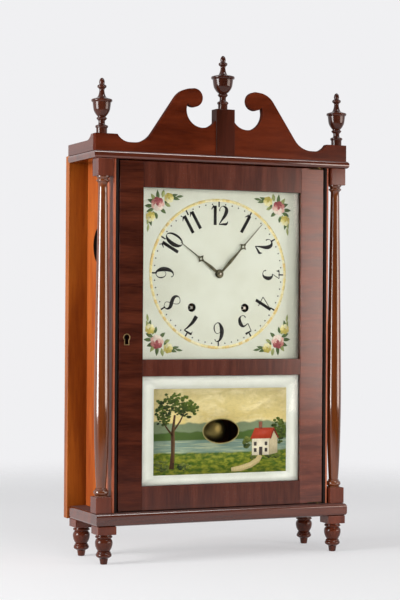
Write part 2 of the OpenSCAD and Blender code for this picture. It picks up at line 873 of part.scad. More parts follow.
// Pulley brackets under the top board, each with its pin
module pulley_brackets() {
    cheek = 1.6;
    gap = pulley_t + 2 * clear;
    half = 8;
    color("dimgray")
        both_sides()
            translate([pulley_x, cord_y, 0]) {
                block([-half, -gap / 2 - cheek, roof_z - 2], [half, gap / 2 + cheek, roof_z]);
                for (y = [-gap / 2 - cheek, gap / 2])
                    block([-half, y, pulley_z - 5], [half, y + cheek, roof_z - 2]);
                rotate([90, 0, 0])
                    translate([0, pulley_z, -gap / 2 - cheek])
                        cylinder(r = arbor_r, h = gap + 2 * cheek);
            }
}

// A grooved pulley at x
module pulley(x) {
    r = pulley_r;
    lip = r + pulley_lip;
    h = pulley_t / 2;
    color("burlywood")
        translate([x, cord_y, pulley_z])
            rotate([90, 0, 0])
                rotate_extrude()
                    polygon([[arbor_r + run_fit, -h], [lip, -h], [lip, -h + 0.6], [r, -0.9], [r, 0.9],
                             [lip, h - 0.6], [lip, h], [arbor_r + run_fit, h]]);
}

module time_pulley() {
    pulley(pulley_x);
}

module strike_pulley() {
    pulley(-pulley_x);
}

// Cord from a drum of radius r up to its pulley and over it, on the right-hand side
module cord_lead(drum_r) {
    rd = drum_r + cord_ride;
    rp = pulley_r + cord_ride;
    p = [pulley_x, pulley_z];
    lean = acos((rd + rp) / norm(p - time_at));
    a = heading(time_at, p) - lean;
    turns = 12;
    tube(concat([[polar(time_at, rd, a), a + 90]],
                [for (i = [0:turns])
                 let (f = (a + 180) * (1 - i / turns))
                 [polar(p, rp, f), f - 90]]));
}

// A round cord through places [[x, z], heading] in the plane of the pulleys
module tube(places) {
    sides = 8;
    last = len(places) - 1;
    points = [for (q = places)
              for (k = [0:sides - 1])
              let (u = cord_r * cos(360 * k / sides), v = cord_r * sin(360 * k / sides))
              [q[0][0] - u * sin(q[1]), cord_y + v, q[0][1] + u * cos(q[1])]];
    walls = [for (i = [0:last - 1])
             for (k = [0:sides - 1])
             let (a = i * sides + k, b = i * sides + (k + 1) % sides)
             each [[a, b, a + sides], [b, b + sides, a + sides]]];
    ends = [for (k = [1:sides - 2])
            each [[0, k + 1, k], [last * sides, last * sides + k, last * sides + k + 1]]];
    polyhedron(points, concat(walls, ends));
}

module cord_leads() {
    color("darkkhaki") {
        cord_lead(time_drum_r);
        mirror([1, 0, 0])
            cord_lead(strike_drum_r);
    }
}

// Straight cord from a pulley down to its weight
module cord_drop(x) {
    color("darkkhaki")
        translate([x, cord_y, weight_top])
            cylinder(r = cord_r, h = pulley_z - weight_top, $fn = 24);
}

module time_cord() {
    cord_drop(weight_x);
}

module strike_cord() {
    cord_drop(-weight_x);
}

// Cast-iron weight with its hook
module weight(x) {
    r = weight_r;
    h = weight_h;
    hook_r = 1.6;
    color("dimgray")
        turned([x, cord_y, weight_z0],
               [[r - 2, 0], [r, 2], [r, h - 4], [r - 4, h], [hook_r + 2, h],
                [hook_r, h + 2], [hook_r, h + weight_hook_h]]);
}

module time_weight() {
    weight(weight_x);
}

module strike_weight() {
    weight(-weight_x);
}

// Steel pins in the base board and in the top board, on which the door turns
module pivot_pins() {
    reach = pivot_depth + door_gap + 7;
    color("silver")
        for (z = [floor_z - pivot_depth, roof_z + pivot_depth - reach])
            translate([pivot_x, pivot_y, z])
                cylinder(r = pivot_r, h = reach);
}

// Space that the two glasses, their strips and the front openings take out of the door frame
module glass_space() {
    for (z = [[tablet_z0, tablet_z1], [upper_z0, upper_z1]])
        block([-open_x - rabbet, glass_y, z[0] - rabbet],
              [open_x + rabbet, door_back_y + 1, z[1] + rabbet]);
}

// A stile of the door on the right
module stile() {
    difference() {
        block([open_x, case_y, door_z0], [door_x, door_back_y, door_z1]);
        glass_space();
    }
}

// Right stile: let in for the pivot plates and drilled for the pins
module hinge_stile() {
    color("maroon")
        difference() {
            stile();
            for (z = [door_z0 - 1, door_z1 - pivot_plate_t])
                block([door_x - pivot_plate_l, case_y - 1, z],
                      [door_x + 1, case_y + pivot_plate_d, z + pivot_plate_t + 1]);
            for (z = [door_z0 - 1, door_z1 - 9])
                translate([pivot_x, pivot_y, z])
                    cylinder(r = pivot_r + 2 * run_fit, h = 10);
        }
}

// Brass plates at the ends of the right stile, bored for the pins
module pivot_plates() {
    color("goldenrod")
        for (z = [door_z0, door_z1 - pivot_plate_t])
            difference() {
                block([door_x - pivot_plate_l, case_y, z],
                      [door_x, case_y + pivot_plate_d, z + pivot_plate_t]);
                translate([pivot_x, pivot_y, z - 1])
                    cylinder(r = pivot_r + run_fit, h = pivot_plate_t + 2);
            }
}

// Places of the lock and its bolt
lock_y0 = door_back_y - lock_d;
lock_x0 = -door_x + lock_in;
bolt_y0 = lock_y0 + bolt_back;
bolt_z0 = key_z + 2;
bolt_x0 = -door_x + 1;

// Keyhole outline: a round with a slot below it
module keyhole(grow) {
    translate([key_x, key_z])
        union() {
            translate([0, 3])
                circle(4.4 + grow);
            translate([-2.8 - grow, -7.6 - grow])
                square([5.6 + 2 * grow, 10.6 + grow]);
        }
}

// Left stile: let in for the lock, with a keyhole and a way out for the bolt
module lock_stile() {
    color("maroon")
        difference() {
            mirror([1, 0, 0])
                stile();
            block([lock_x0 - seat_fit, lock_y0 - seat_fit, key_z - lock_h / 2 - seat_fit],
                  [lock_x0 + lock_w + seat_fit, door_back_y + 1, key_z + lock_h / 2 + seat_fit]);
            slab(case_y - 1, lock_y0)
                keyhole(0);
            block([-door_x - 1, bolt_y0 - clear, bolt_z0 - clear],
                  [lock_x0, bolt_y0 + bolt_t + clear, bolt_z0 + bolt_h + clear]);
        }
}

// Rails between the stiles
module rail(z0, z1) {
    color("maroon")
        difference() {
            block([-open_x, case_y, z0], [open_x, door_back_y, z1]);
            glass_space();
        }
}

module top_rail() {
    rail(upper_z1, door_z1);
}

module middle_rail() {
    rail(tablet_z1, upper_z0);
}

module bottom_rail() {
    rail(door_z0, tablet_z0);
}

// A pane in its rabbet
module pane(z0, z1) {
    edge = rabbet - 1;
    block([-open_x - edge, glass_y, z0 - edge], [open_x + edge, glass_back_y, z1 + edge]);
}

module dial_glass() {
    color("lightcyan")
        pane(upper_z0, upper_z1);
}

module tablet_glass() {
    color("wheat")
        pane(tablet_z0, tablet_z1);
}

// Thin strips behind the panes
module glazing_strips() {
    strip = 3;
    out = open_x + rabbet - seat_fit;
    color("saddlebrown")
        for (z = [[tablet_z0, tablet_z1], [upper_z0, upper_z1]]) {
            slab(glass_back_y, glass_back_y + strip)
                difference() {
                    translate([-out, z[0] - rabbet + seat_fit])
                        square([2 * out, z[1] - z[0] + 2 * (rabbet - seat_fit)]);
                    translate([-open_x, z[0]])
                        square([2 * open_x, z[1] - z[0]]);
                }
        }
}

// Thin metal rim round the keyhole
module keyhole_escutcheon() {
    color("darkgoldenrod")
        slab(case_y - 0.8, case_y)
            difference() {
                keyhole(1.3);
                keyhole(0.1);
            }
}

// Iron lock let into the stile from behind
module lock_case() {
    color("dimgray")
        difference() {
            block([lock_x0, lock_y0, key_z - lock_h / 2],
                  [lock_x0 + lock_w, door_back_y, key_z + lock_h / 2]);
            block([lock_x0 - 1, bolt_y0 - clear, bolt_z0 - clear],
                  [bolt_x0 + bolt_w + clear, bolt_y0 + bolt_t + clear, bolt_z0 + bolt_h + clear]);
            slab(lock_y0 - 1, lock_y0 + bolt_back - 1.5)
                keyhole(0);
        }
}

module lock_bolt() {
    color("silver")
        block([bolt_x0, bolt_y0, bolt_z0],
              [bolt_x0 + bolt_w, bolt_y0 + bolt_t, bolt_z0 + bolt_h]);
}

// Centre arbor: pinion, centre wheel, cannon pinion, and its long front end for the minute hand
module centre_wheel() {
    leaf_lv = [great_lv[0] - 1, great_lv[1] + 1];
    hub_r = 5;
    nose = 1.6;
    color("goldenrod") {
        arbor(centre);
        bar_y(centre, arbor_r, minute_hand_y - nose, front_plate_y + 2);
        wheel(centre, third_at, centre_n, centre_m, centre_lv, hub_r);
        bar_y(centre, hub_r, centre_lv[0], leaf_lv[0]);
        pinion(centre, time_at, leaf_n, great_m, leaf_lv);
        pinion(centre, minute_at_xz, cannon_n, motion_m, cannon_lv);
    }
}

// Outline of a hand of length l, pointing up: a leaf, an open four-pointed ornament, a slim tip
module hand_outline(l, ornament, collet_r, bore_r) {
    difference() {
        union() {
            circle(collet_r);
            polygon([[-1.4, 0], [1.4, 0], [2.6, ornament * 0.45], [1.1, ornament - 6],
                     [-1.1, ornament - 6], [-2.6, ornament * 0.45]]);
            polygon([[0, ornament - 9], [2.4, ornament - 2.6], [7, ornament], [2.4, ornament + 2.6],
                     [0, ornament + 9], [-2.4, ornament + 2.6], [-7, ornament], [-2.4, ornament - 2.6]]);
            polygon([[-0.8, ornament + 4], [0.8, ornament + 4], [0.8, ornament + (l - ornament) * 0.5],
                     [0.3, l], [-0.3, l], [-0.8, ornament + (l - ornament) * 0.5]]);
        }
        translate([0, ornament])
            rotate(45)
                square(3.4, center = true);
        circle(bore_r);
    }
}

// Blued steel minute hand, on the end of the centre arbor
module minute_hand() {
    color("darkslategray")
        slab(minute_hand_y - hand_t / 2, minute_hand_y + hand_t / 2)
            translate(centre)
                rotate(-6 * minute_at)
                    hand_outline(minute_l, 59, 5.5, arbor_r + run_fit);
}

// Hour wheel with its pipe, through which the centre arbor runs
module hour_wheel() {
    color("goldenrod")
        difference() {
            union() {
                slab(hour_lv[0], hour_lv[1])
                    translate(centre)
                        wheel_outline(hour_n, hour_m, heading(centre, minute_at_xz));
                bar_y(centre, hour_pipe_r, hour_hand_y - 1, hour_lv[1]);
            }
            bar_y(centre, arbor_r + run_fit, hour_hand_y - 2, hour_lv[1] + 1);
        }
}

module hour_hand() {
    color("darkslategray")
        slab(hour_hand_y - hand_t / 2, hour_hand_y + hand_t / 2)
            translate(centre)
                rotate(-30 * hour_at)
                    hand_outline(hour_l, 39.5, 7, hour_pipe_r + run_fit);
}

// Minute wheel and its pinion, on a stud of the front plate
module minute_wheel() {
    leaf_lv = [hour_lv[0], cannon_lv[0]];
    color("goldenrod")
        difference() {
            union() {
                wheel(minute_at_xz, centre, minute_n, motion_m, cannon_lv, 5);
                pinion(minute_at_xz, centre, minute_leaf_n, hour_m, leaf_lv);
            }
            bar_y(minute_at_xz, arbor_r + run_fit, hour_lv[0] - 2, front_plate_y);
        }
}

// Going great wheel, loose on its winding arbor
module time_great_wheel() {
    color("peru")
        difference() {
            wheel(time_at, centre, great_n, great_m, great_lv, 10);
            bar_y(time_at, wind_arbor_r + run_fit, great_lv[0] - 1, great_lv[1] + 1);
        }
}

// Winding arbor with its square end and the drum of radius r, at p
module drum(p, r) {
    square_w = wind_arbor_r * 1.35;
    lip = 4;
    color("burlywood") {
        bar_y(p, wind_arbor_r, dial_back_y + 1, back_plate_y + plate_t - 1);
        slab(dial_y + 1, dial_back_y + 1)
            translate(p)
                square(square_w, center = true);
        bar_y(p, r, drum_lv[0], drum_lv[1]);
        for (y = [drum_lv[0], drum_lv[1] - 2])
            bar_y(p, r + lip, y, y + 2);
    }
}

module time_drum() {
    drum(time_at, time_drum_r);
}

module strike_drum() {
    drum(strike_at, strike_drum_r);
}

// Third wheel, in front of the front plate, with its pinion between the plates
module third_wheel() {
    leaf_lv = [centre_lv[0] - 1, centre_lv[1] + 1];
    color("goldenrod") {
        arbor(third_at);
        bar_y(third_at, arbor_r, bridge_lv[0] + 0.5, front_plate_y + 2);
        wheel(third_at, escape_at, third_n, third_m, third_lv, 5);
        pinion(third_at, centre, leaf_n, centre_m, leaf_lv);
    }
}

// Brass escape wheel with raked teeth, and its pinion
module escape_wheel() {
    root_r = escape_r - 3.4;
    step = 360 / escape_n;
    color("gold") {
        bar_y(escape_at, arbor_r, bridge_lv[0] + 0.5, front_plate_y - 0.3);
        pinion(escape_at, third_at, escape_leaf_n, third_m, [third_lv[0] - 0.5, third_lv[1] + 0.5]);
        bar_y(escape_at, 2, escape_lv[1], third_lv[0] - 0.5);
        slab(escape_lv[0], escape_lv[1])
            translate(escape_at)
                difference() {
                    polygon([for (i = [0:escape_n - 1])
                             for (q = [[root_r, 0], [escape_r, 0.1], [escape_r, 0.22], [root_r, 0.7]])
                             q[0] * [cos((i + q[1]) * step), sin((i + q[1]) * step)]]);
                    for (k = [0:3])
                        rotate(45 + 90 * k)
                            translate([7.6, 0])
                                circle(3.4);
                }
    }
}

// Verge: a bent steel strip on its stud, with the crutch that takes the pendulum rod
module verge() {
    half = 14;
    pallet_clear = 1.054;
    reach = pallet_gap - sqrt(pow(escape_r + pallet_clear, 2) - half * half);
    bar_w = 2.2;
    fork_z = -24;
    gap = 1.5 + clear;
    color("slategray")
        difference() {
            union() {
                slab(verge_lv[0], verge_lv[1])
                    translate(verge_at)
                        union() {
                            circle(3.6);
                            both_sides_2d()
                                polygon([[0, -1.1], [half + bar_w, reach - 6], [half + bar_w, reach],
                                         [half, reach], [half, reach - 4.6], [0, 1.6]]);
                            translate([-1.1, fork_z])
                                square([2.2, -fork_z]);
                        }
                slab(rod_y - 3, verge_lv[1])
                    translate(verge_at + [0, fork_z])
                        both_sides_2d()
                            translate([gap, -1])
                                square([1.4, 2]);
                slab(verge_lv[0], verge_lv[1])
                    translate(verge_at + [-gap - 1.4, fork_z - 1])
                        square([2 * gap + 2.8, 2]);
            }
            bar_y(verge_at, arbor_r + run_fit, rod_y - 4, front_plate_y);
        }
}

// One 2-D child at each side of the middle
module both_sides_2d() {
    for (s = [0, 1])
        mirror([s, 0])
            children();
}

// Pendulum rod: a wire with an eye that hangs on the verge's stud
rod_r = 1.5;
nut_h = 4;
module pendulum_rod() {
    eye_t = 1.6;
    color("silver")
        difference() {
            union() {
                bar_y(verge_at, 4, rod_y - eye_t, rod_y + eye_t);
                translate([0, rod_y, bob_z - bob_r - 9])
                    cylinder(r = rod_r, h = verge_at[1] - bob_z + bob_r + 9 - 2);
                translate([0, rod_y, bob_z - bob_r - nut_h - clear])
                    cylinder(r = 4, h = nut_h, $fn = 6);
            }
            bar_y(verge_at, arbor_r + run_fit, rod_y - 5, rod_y + 5);
        }
}

// Brass-faced lens bob on the rod
module pendulum_bob() {
    n = 8;
    h = bob_t / 2;
    lens_r = (bob_r * bob_r + h * h) / (2 * h);
    a = asin(bob_r / lens_r);
    color("goldenrod")
        difference() {
            translate([0, rod_y, bob_z])
                rotate([90, 0, 0])
                    rotate_extrude()
                        polygon(concat([[0, -h]],
                                       [for (i = [1:n]) [lens_r * sin(a * i / n),
                                                         lens_r - h - lens_r * cos(a * i / n)]],
                                       [for (i = [n:-1:1]) [lens_r * sin(a * i / n),
                                                            h - lens_r + lens_r * cos(a * i / n)
                                                            + 0.6]],
                                       [[0, h + 0.6]]));
            translate([0, rod_y, bob_z - bob_r - 1])
                cylinder(r = rod_r + run_fit, h = 2 * bob_r + 2);
        }
}

// Striking great wheel with the count wheel's notches in its flange
module strike_great_wheel() {
    flange_r = 22;
    notch = 360 / 78;
    color("peru")
        difference() {
            union() {
                wheel(strike_at, pin_at, strike_n, strike_m, strike_lv, 12);
                bar_y(strike_at, flange_r, strike_lv[1], strike_lv[1] + 2);
            }
            for (h = [1:12])
                slab(strike_lv[1], strike_lv[1] + 3)
                    translate(strike_at)
                        rotate(h * (h + 1) / 2 * notch)
                            translate([flange_r - 2.4, -0.8])
                                square([4, 1.6]);
            bar_y(strike_at, wind_arbor_r + run_fit, strike_lv[0] - 1, strike_lv[1] + 3);
        }
}

// Pin wheel, whose pins lift the hammer's tail
pin_circle = 24.9;
pin_r = 0.8;
module pin_wheel() {
    leaf_lv = [strike_lv[0] - 1, strike_lv[1] + 1];
    color("goldenrod") {
        arbor(pin_at);
        wheel(pin_at, warning_at, pin_n, pin_m, pin_lv, 5);
        bar_y(pin_at, 2, pin_lv[1], leaf_lv[0]);
        pinion(pin_at, strike_at, strike_leaf_n, strike_m, leaf_lv);
        for (k = [0:5])
            bar_y(polar(pin_at, pin_circle, 60 * k), pin_r, pin_lv[1] - 1, tail_lv[1]);
    }
}

// Warning wheel and the fly that slows the striking
module warning_wheel() {
    color("goldenrod") {
        arbor(warning_at);
        wheel(warning_at, fly_at, warning_n, warning_m, warning_lv, 5);
        pinion(warning_at, pin_at, strike_leaf_n, pin_m, [pin_lv[0] - 1, pin_lv[1] + 1]);
    }
}

module fly() {
    vane_w = 24;
    color("goldenrod") {
        arbor(fly_at);
        pinion(fly_at, warning_at, strike_leaf_n, warning_m, [warning_lv[0] - 1, warning_lv[1] + 1]);
        slab(warning_lv[1] + 3, warning_lv[1] + 13)
            translate(fly_at - [vane_w / 2, 0.9])
                square([vane_w, 1.8]);
    }
}

// Hammer: arbor, tail over the pin wheel, and a wire with a round head beside the bell
module hammer() {
    tail_end = polar(pin_at, pin_circle + pin_r + 2 * clear, 84);
    head_x = bell_at[0] - bell_r - 1.2;
    head_z = bell_at[2] + 4;
    head_l = 12;
    wire_top = [head_x - head_l / 2, head_z];
    color("slategray") {
        arbor(hammer_at);
        slab(tail_lv[0], tail_lv[1])
            union() {
                translate(hammer_at)
                    circle(4);
                translate(hammer_at)
                    rotate(heading(hammer_at, tail_end))
                        translate([0, -1.2])
                            square([norm(tail_end - hammer_at), 2.4]);
                translate(hammer_at)
                    rotate(heading(hammer_at, wire_top))
                        translate([0, -1])
                            square([norm(wire_top - hammer_at), 2]);
            }
        translate([head_x - head_l, (tail_lv[0] + tail_lv[1]) / 2, head_z])
            rotate([0, 90, 0])
                cylinder(r = 5, h = head_l);
    }
}

base_board();
feet();
left_case_side();
right_case_side();
backboard();
top_board();
columns();
column_blocks();
scroll_board();
scroll_returns();
pediment_blocks();
finials();
case_battens();
dial();
front_plate();
back_plate();
plate_pillars();
front_bridge();
bell();
bell_stand();
pulley_brackets();
cord_leads();
time_cord();
strike_cord();
pivot_pins();
hinge_stile();
lock_stile();
top_rail();
middle_rail();
bottom_rail();
dial_glass();
tablet_glass();
glazing_strips();
keyhole_escutcheon();
lock_case();
pivot_plates();
lock_bolt();
centre_wheel();
minute_hand();
hour_wheel();
hour_hand();
minute_wheel();
time_great_wheel();
time_drum();
third_wheel();
escape_wheel();
verge();
pendulum_rod();
pendulum_bob();
strike_great_wheel();
strike_drum();
pin_wheel();
warning_wheel();
fly();
hammer();
time_pulley();
strike_pulley();
time_weight();
strike_weight();
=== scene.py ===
import json
import math
import random

import bmesh
import bpy
from mathutils import Matrix, Vector

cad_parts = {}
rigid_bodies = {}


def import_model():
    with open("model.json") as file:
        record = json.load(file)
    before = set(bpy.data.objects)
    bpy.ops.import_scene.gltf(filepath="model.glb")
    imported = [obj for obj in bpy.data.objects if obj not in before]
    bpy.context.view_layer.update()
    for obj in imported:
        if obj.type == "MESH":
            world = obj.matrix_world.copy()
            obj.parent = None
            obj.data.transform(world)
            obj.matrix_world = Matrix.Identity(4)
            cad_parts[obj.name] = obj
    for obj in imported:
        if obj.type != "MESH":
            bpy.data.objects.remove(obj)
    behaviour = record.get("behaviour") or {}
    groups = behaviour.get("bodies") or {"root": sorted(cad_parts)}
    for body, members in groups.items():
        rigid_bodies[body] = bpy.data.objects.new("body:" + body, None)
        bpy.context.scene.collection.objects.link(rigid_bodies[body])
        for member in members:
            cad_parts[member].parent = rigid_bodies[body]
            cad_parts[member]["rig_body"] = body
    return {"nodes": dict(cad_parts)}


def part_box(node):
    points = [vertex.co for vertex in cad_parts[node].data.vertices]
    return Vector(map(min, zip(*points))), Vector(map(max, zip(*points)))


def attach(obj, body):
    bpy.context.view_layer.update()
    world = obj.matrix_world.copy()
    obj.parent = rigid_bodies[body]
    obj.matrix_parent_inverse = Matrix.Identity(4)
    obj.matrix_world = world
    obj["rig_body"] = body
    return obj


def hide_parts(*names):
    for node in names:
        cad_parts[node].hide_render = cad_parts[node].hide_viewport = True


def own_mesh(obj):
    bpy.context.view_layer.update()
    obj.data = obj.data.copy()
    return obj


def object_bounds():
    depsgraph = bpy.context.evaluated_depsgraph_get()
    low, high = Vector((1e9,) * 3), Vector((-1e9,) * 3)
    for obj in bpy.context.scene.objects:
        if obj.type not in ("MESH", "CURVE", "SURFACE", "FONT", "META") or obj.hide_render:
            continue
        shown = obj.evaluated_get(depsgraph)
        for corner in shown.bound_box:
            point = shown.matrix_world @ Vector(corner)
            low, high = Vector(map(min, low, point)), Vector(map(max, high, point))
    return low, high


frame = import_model()
cad_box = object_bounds()

# The camera stands to the left of the clock, below its middle, and looks nearly level through a
# long lens.
camera_at = Vector((-1.1175, -2.4681, 0.3820))
turn, tilt, lean = (math.radians(angle) for angle in (24.07, 0.45, 0.35))
ahead = Vector((math.sin(turn) * math.cos(tilt), math.cos(turn) * math.cos(tilt), math.sin(tilt)))
right = Vector((math.cos(turn), -math.sin(turn), 0))
up = right.cross(ahead)
leaning_right = right * math.cos(lean) + up * math.sin(lean)
leaning_up = up * math.cos(lean) - right * math.sin(lean)
lens = bpy.data.cameras.new("camera")
lens.lens = 101.74
lens.sensor_width = 36
camera = bpy.data.objects.new("camera", lens)
bpy.context.scene.collection.objects.link(camera)
facing = Matrix((leaning_right, leaning_up, -ahead)).transposed().to_4x4()
camera.matrix_world = Matrix.Translation(camera_at) @ facing
bpy.context.scene.camera = camera
bpy.context.scene.view_settings.view_transform = "Standard"


# The studio is a pale floor that fades into a pale room. A tall soft lamp on the left lights the
# side of the case, and lamps on the right, overhead and in front light the door. Two screens, on
# the right and overhead, light nothing and only show in the polish.
class Socket:
    """A value, colour or vector among the nodes of a finish."""

    def __init__(self, tree, socket=None):
        self.tree = tree
        self.socket = socket

    def node(self, kind, settings, sockets, output=0):
        made = self.tree.nodes.new(kind)
        for name, value in settings.items():
            setattr(made, name, value)
        for name, value in sockets.items():
            if isinstance(value, Socket):
                self.tree.links.new(value.socket, made.inputs[name])
            else:
                made.inputs[name].default_value = value
        return Socket(self.tree, made.outputs[output])

    def maths(self, operation, *values):
        return self.node("ShaderNodeMath", {"operation": operation}, dict(enumerate(values)))

    def __add__(self, other):
        return self.maths("ADD", self, other)

    def __sub__(self, other):
        return self.maths("SUBTRACT", self, other)

    def __rsub__(self, other):
        return self.maths("SUBTRACT", other, self)

    def __mul__(self, other):
        return self.maths("MULTIPLY", self, other)

    __radd__ = __add__
    __rmul__ = __mul__

    def away_from(self, place):
        """Distance of the place on the piece from another place."""
        return self.node("ShaderNodeVectorMath", {"operation": "DISTANCE"}, {0: self, 1: place}, "Value")

    def rise(self, low, high):
        """0 below low, 1 above high and a smooth slope between."""
        return self.node("ShaderNodeMapRange", {"interpolation_type": "SMOOTHSTEP"},
                         {"Value": self, "From Min": low, "From Max": high})

    def part(self, axis):
        return self.node("ShaderNodeSeparateXYZ", {}, {0: self}, axis)

    def stretched(self, scale):
        return self.node("ShaderNodeVectorMath", {"operation": "MULTIPLY"}, {0: self, 1: scale})

    def noise(self, scale, detail=2, distortion=0.0):
        return self.node("ShaderNodeTexNoise", {},
                         {"Vector": self.stretched(scale), "Scale": 1, "Detail": detail,
                          "Roughness": 0.6, "Distortion": distortion})

    def bump(self, strength, distance):
        return self.node("ShaderNodeBump", {},
                         {"Strength": strength, "Distance": distance, "Height": self}, "Normal")

    def feed(self, shader, name):
        self.tree.links.new(self.socket, shader.inputs[name])


def blend(amount, first, second):
    """A colour between two; amount 0 gives the first."""
    return amount.node("ShaderNodeMix", {"data_type": "RGBA"}, {0: amount, 6: first, 7: second}, 2)


def shade(red, green, blue):
    """A colour as a screen shows it, 0 to 255, as amounts of light."""
    return tuple(((tone / 255 + 0.055) / 1.055) ** 2.4 for tone in (red, green, blue)) + (1.0,)


def finish(name, constants):
    """A new finish: its material, its shader and the place on the piece, in metres."""
    material = bpy.data.materials.new(name)
    material.use_nodes = True
    shader = material.node_tree.nodes["Principled BSDF"]
    for socket, value in constants.items():
        shader.inputs[socket].default_value = value
    here = Socket(material.node_tree).node("ShaderNodeTexCoord", {}, {}, "Object")
    return material, shader, here


floor_r, fade_from, fade_to = 3.2, 0.8, 1.8
floor_sides = 96
floor_gap = 0.0003
floor_z = cad_box[0].z - floor_gap
floor_paint, shader, here = finish("floor_paint", {"Roughness": 0.9, "Specular IOR Level": 0.1,
                                                   "Emission Strength": 1.0})
straight = here.node("ShaderNodeLightPath", {}, {}, "Is Camera Ray")
in_polish = here.node("ShaderNodeLightPath", {}, {}, "Is Glossy Ray")
shown = here.maths("MAXIMUM", straight, in_polish)
paper = blend(here.noise((3, 3, 3)), shade(206, 206, 208), shade(212, 212, 214))
blend(shown, paper, shade(188, 188, 189)).feed(shader, "Base Color")
blend(shown, (0, 0, 0, 1), shade(176, 176, 177)).feed(shader, "Emission Color")
from_middle = here.node("ShaderNodeVectorMath", {"operation": "LENGTH"}, {0: here}, "Value")
(1 - from_middle.rise(fade_from, fade_to)).feed(shader, "Alpha")
rim_angles = [2 * math.pi * k / floor_sides for k in range(floor_sides)]
floor_mesh = bpy.data.meshes.new("floor")
floor_rim = [(floor_r * math.cos(a), floor_r * math.sin(a), floor_z) for a in rim_angles]
floor_mesh.from_pydata(floor_rim, [], [tuple(range(floor_sides))])
floor_mesh.materials.append(floor_paint)
floor = bpy.data.objects.new("floor", floor_mesh)
bpy.context.scene.collection.objects.link(floor)

room = bpy.data.worlds.new("room")
room.use_nodes = True
bpy.context.scene.world = room
walls = room.node_tree.nodes["Background"]
start = Socket(room.node_tree)
outward = start.node("ShaderNodeTexCoord", {}, {}, "Generated")
seen = start.node("ShaderNodeLightPath", {}, {}, "Is Camera Ray")
mirrored = start.node("ShaderNodeLightPath", {}, {}, "Is Glossy Ray")
passed = start.node("ShaderNodeLightPath", {}, {}, "Is Transmission Ray")
front = (outward.part("Y") * -1).rise(0.15, 0.65)
back = outward.part("Y").rise(0.3, 0.9)
fill = 0.24
in_mirror = 0.88 - 0.85 * front + 0.65 * back
level = seen + mirrored * in_mirror + passed * 0.9 + (1 - seen - mirrored - passed) * fill
blend(level, (0, 0, 0, 1), shade(240, 240, 242)).feed(walls, "Color")


def soft_lamp(name, at, towards, size, power, lights=True, gleams=True, tone=(1, 1, 1)):
    """A lamp that lights the pieces, shows in their polish, or both."""
    lamp = bpy.data.lights.new(name, "AREA")
    lamp.color = tone
    lamp.shape = "RECTANGLE"
    lamp.size, lamp.size_y = size
    lamp.energy = power
    placed = bpy.data.objects.new(name, lamp)
    placed.location = at
    placed.rotation_euler = (Vector(towards) - Vector(at)).to_track_quat("-Z", "Y").to_euler()
    placed.visible_camera = False
    placed.visible_diffuse = lights
    placed.visible_glossy = gleams
    bpy.context.scene.collection.objects.link(placed)


soft_lamp("left_lamp", (-2.3, -0.25, 0.7), (0, 0, 0.4), (1.0, 1.3), 70)
soft_lamp("right_lamp", (1.85, -1.72, 0.6), (0, 0, 0.4), (1.0, 1.2), 26, gleams=False)
soft_lamp("right_screen", (1.62, -1.5, 0.45), (0, 0, 0.45), (1.4, 0.7), 21, lights=False,
          tone=(1, 0.86, 0.78))
soft_lamp("top_lamp", (-0.35, -1.6, 2.3), (0, 0, 0.35), (1.4, 0.6), 4, gleams=False)
soft_lamp("top_screen", (0.75, -0.95, 2.4), (0, 0, 0.6), (0.9, 0.5), 16, lights=False)
soft_lamp("front_lamp", (0.1, -2.6, 0.5), (0, 0, 0.4), (1.6, 1.4), 36, gleams=False)


# Base board and top board: solid mahogany, its grain along the front, polished with shellac. The
# front and side edges are rounded over, and every corner is worn a little.
mm = 0.001


def grain(here, along, across=30, lengthwise=2.4):
    """Figure, fine lines and pores of wood that runs along X, Y or Z."""
    def streaks(finer, detail, distortion):
        scale = [across * finer] * 3
        scale["XYZ".index(along)] = lengthwise * finer
        return here.noise(scale, detail, distortion)
    return (streaks(1, 3, 0.8).rise(0.3, 0.7), streaks(7, 2, 0.3).rise(0.3, 0.72),
            streaks(50, 1, 0).rise(0.55, 0.75))


def polished(name, dark, light, along, gloss=0.16, across=30, lengthwise=2.4, shine=1.0, sawn=0.0,
             crazed=0.0):
    """Polished wood, from its darkest streak to its lightest; sawn edges and dusty tops shine less."""
    material, shader, here = finish(name, {"Coat Roughness": 0.1, "Specular IOR Level": 0.45 * shine})
    normal = here.node("ShaderNodeNewGeometry", {}, {}, "Normal")
    edge = (1 - here.maths("ABSOLUTE", normal.part("Y")).rise(0.4, 0.8)) * sawn
    dull = here.maths("MAXIMUM", edge, normal.part("Z").rise(0.94, 0.99))
    figure, lines, pores = grain(here, along, across, lengthwise)
    wood = blend(figure * 0.72 + lines * 0.28, dark, light)
    blend(pores * 0.2, wood, tuple(0.4 * tone for tone in dark[:3]) + (1,)).feed(shader, "Base Color")
    (gloss + 0.05 * figure + 0.05 * pores + 0.7 * dull).feed(shader, "Roughness")
    ((1 - dull) * 0.12 * shine).feed(shader, "Coat Weight")
    crazing = here.noise((170, 170, 26), 3) * crazed
    (lines * 0.5 - pores * 0.3 + crazing).bump(0.08, 0.0001).feed(shader, "Normal")
    return material


def dress(material, *nodes):
    """Give a finish to nodes that keep their own shapes."""
    for node in nodes:
        for slot in frame["nodes"][node].material_slots:
            slot.link = "OBJECT"
            slot.material = material


def put(name, mesh, material, body, smooth_under=35):
    """A new piece that rides on a body, smooth where its faces meet at less than an angle."""
    mesh.materials.clear()
    mesh.materials.append(material)
    mesh.shade_smooth()
    mesh.set_sharp_from_angle(angle=math.radians(smooth_under))
    placed = bpy.data.objects.new(name, mesh)
    bpy.context.scene.collection.objects.link(placed)
    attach(placed, body)
    return placed


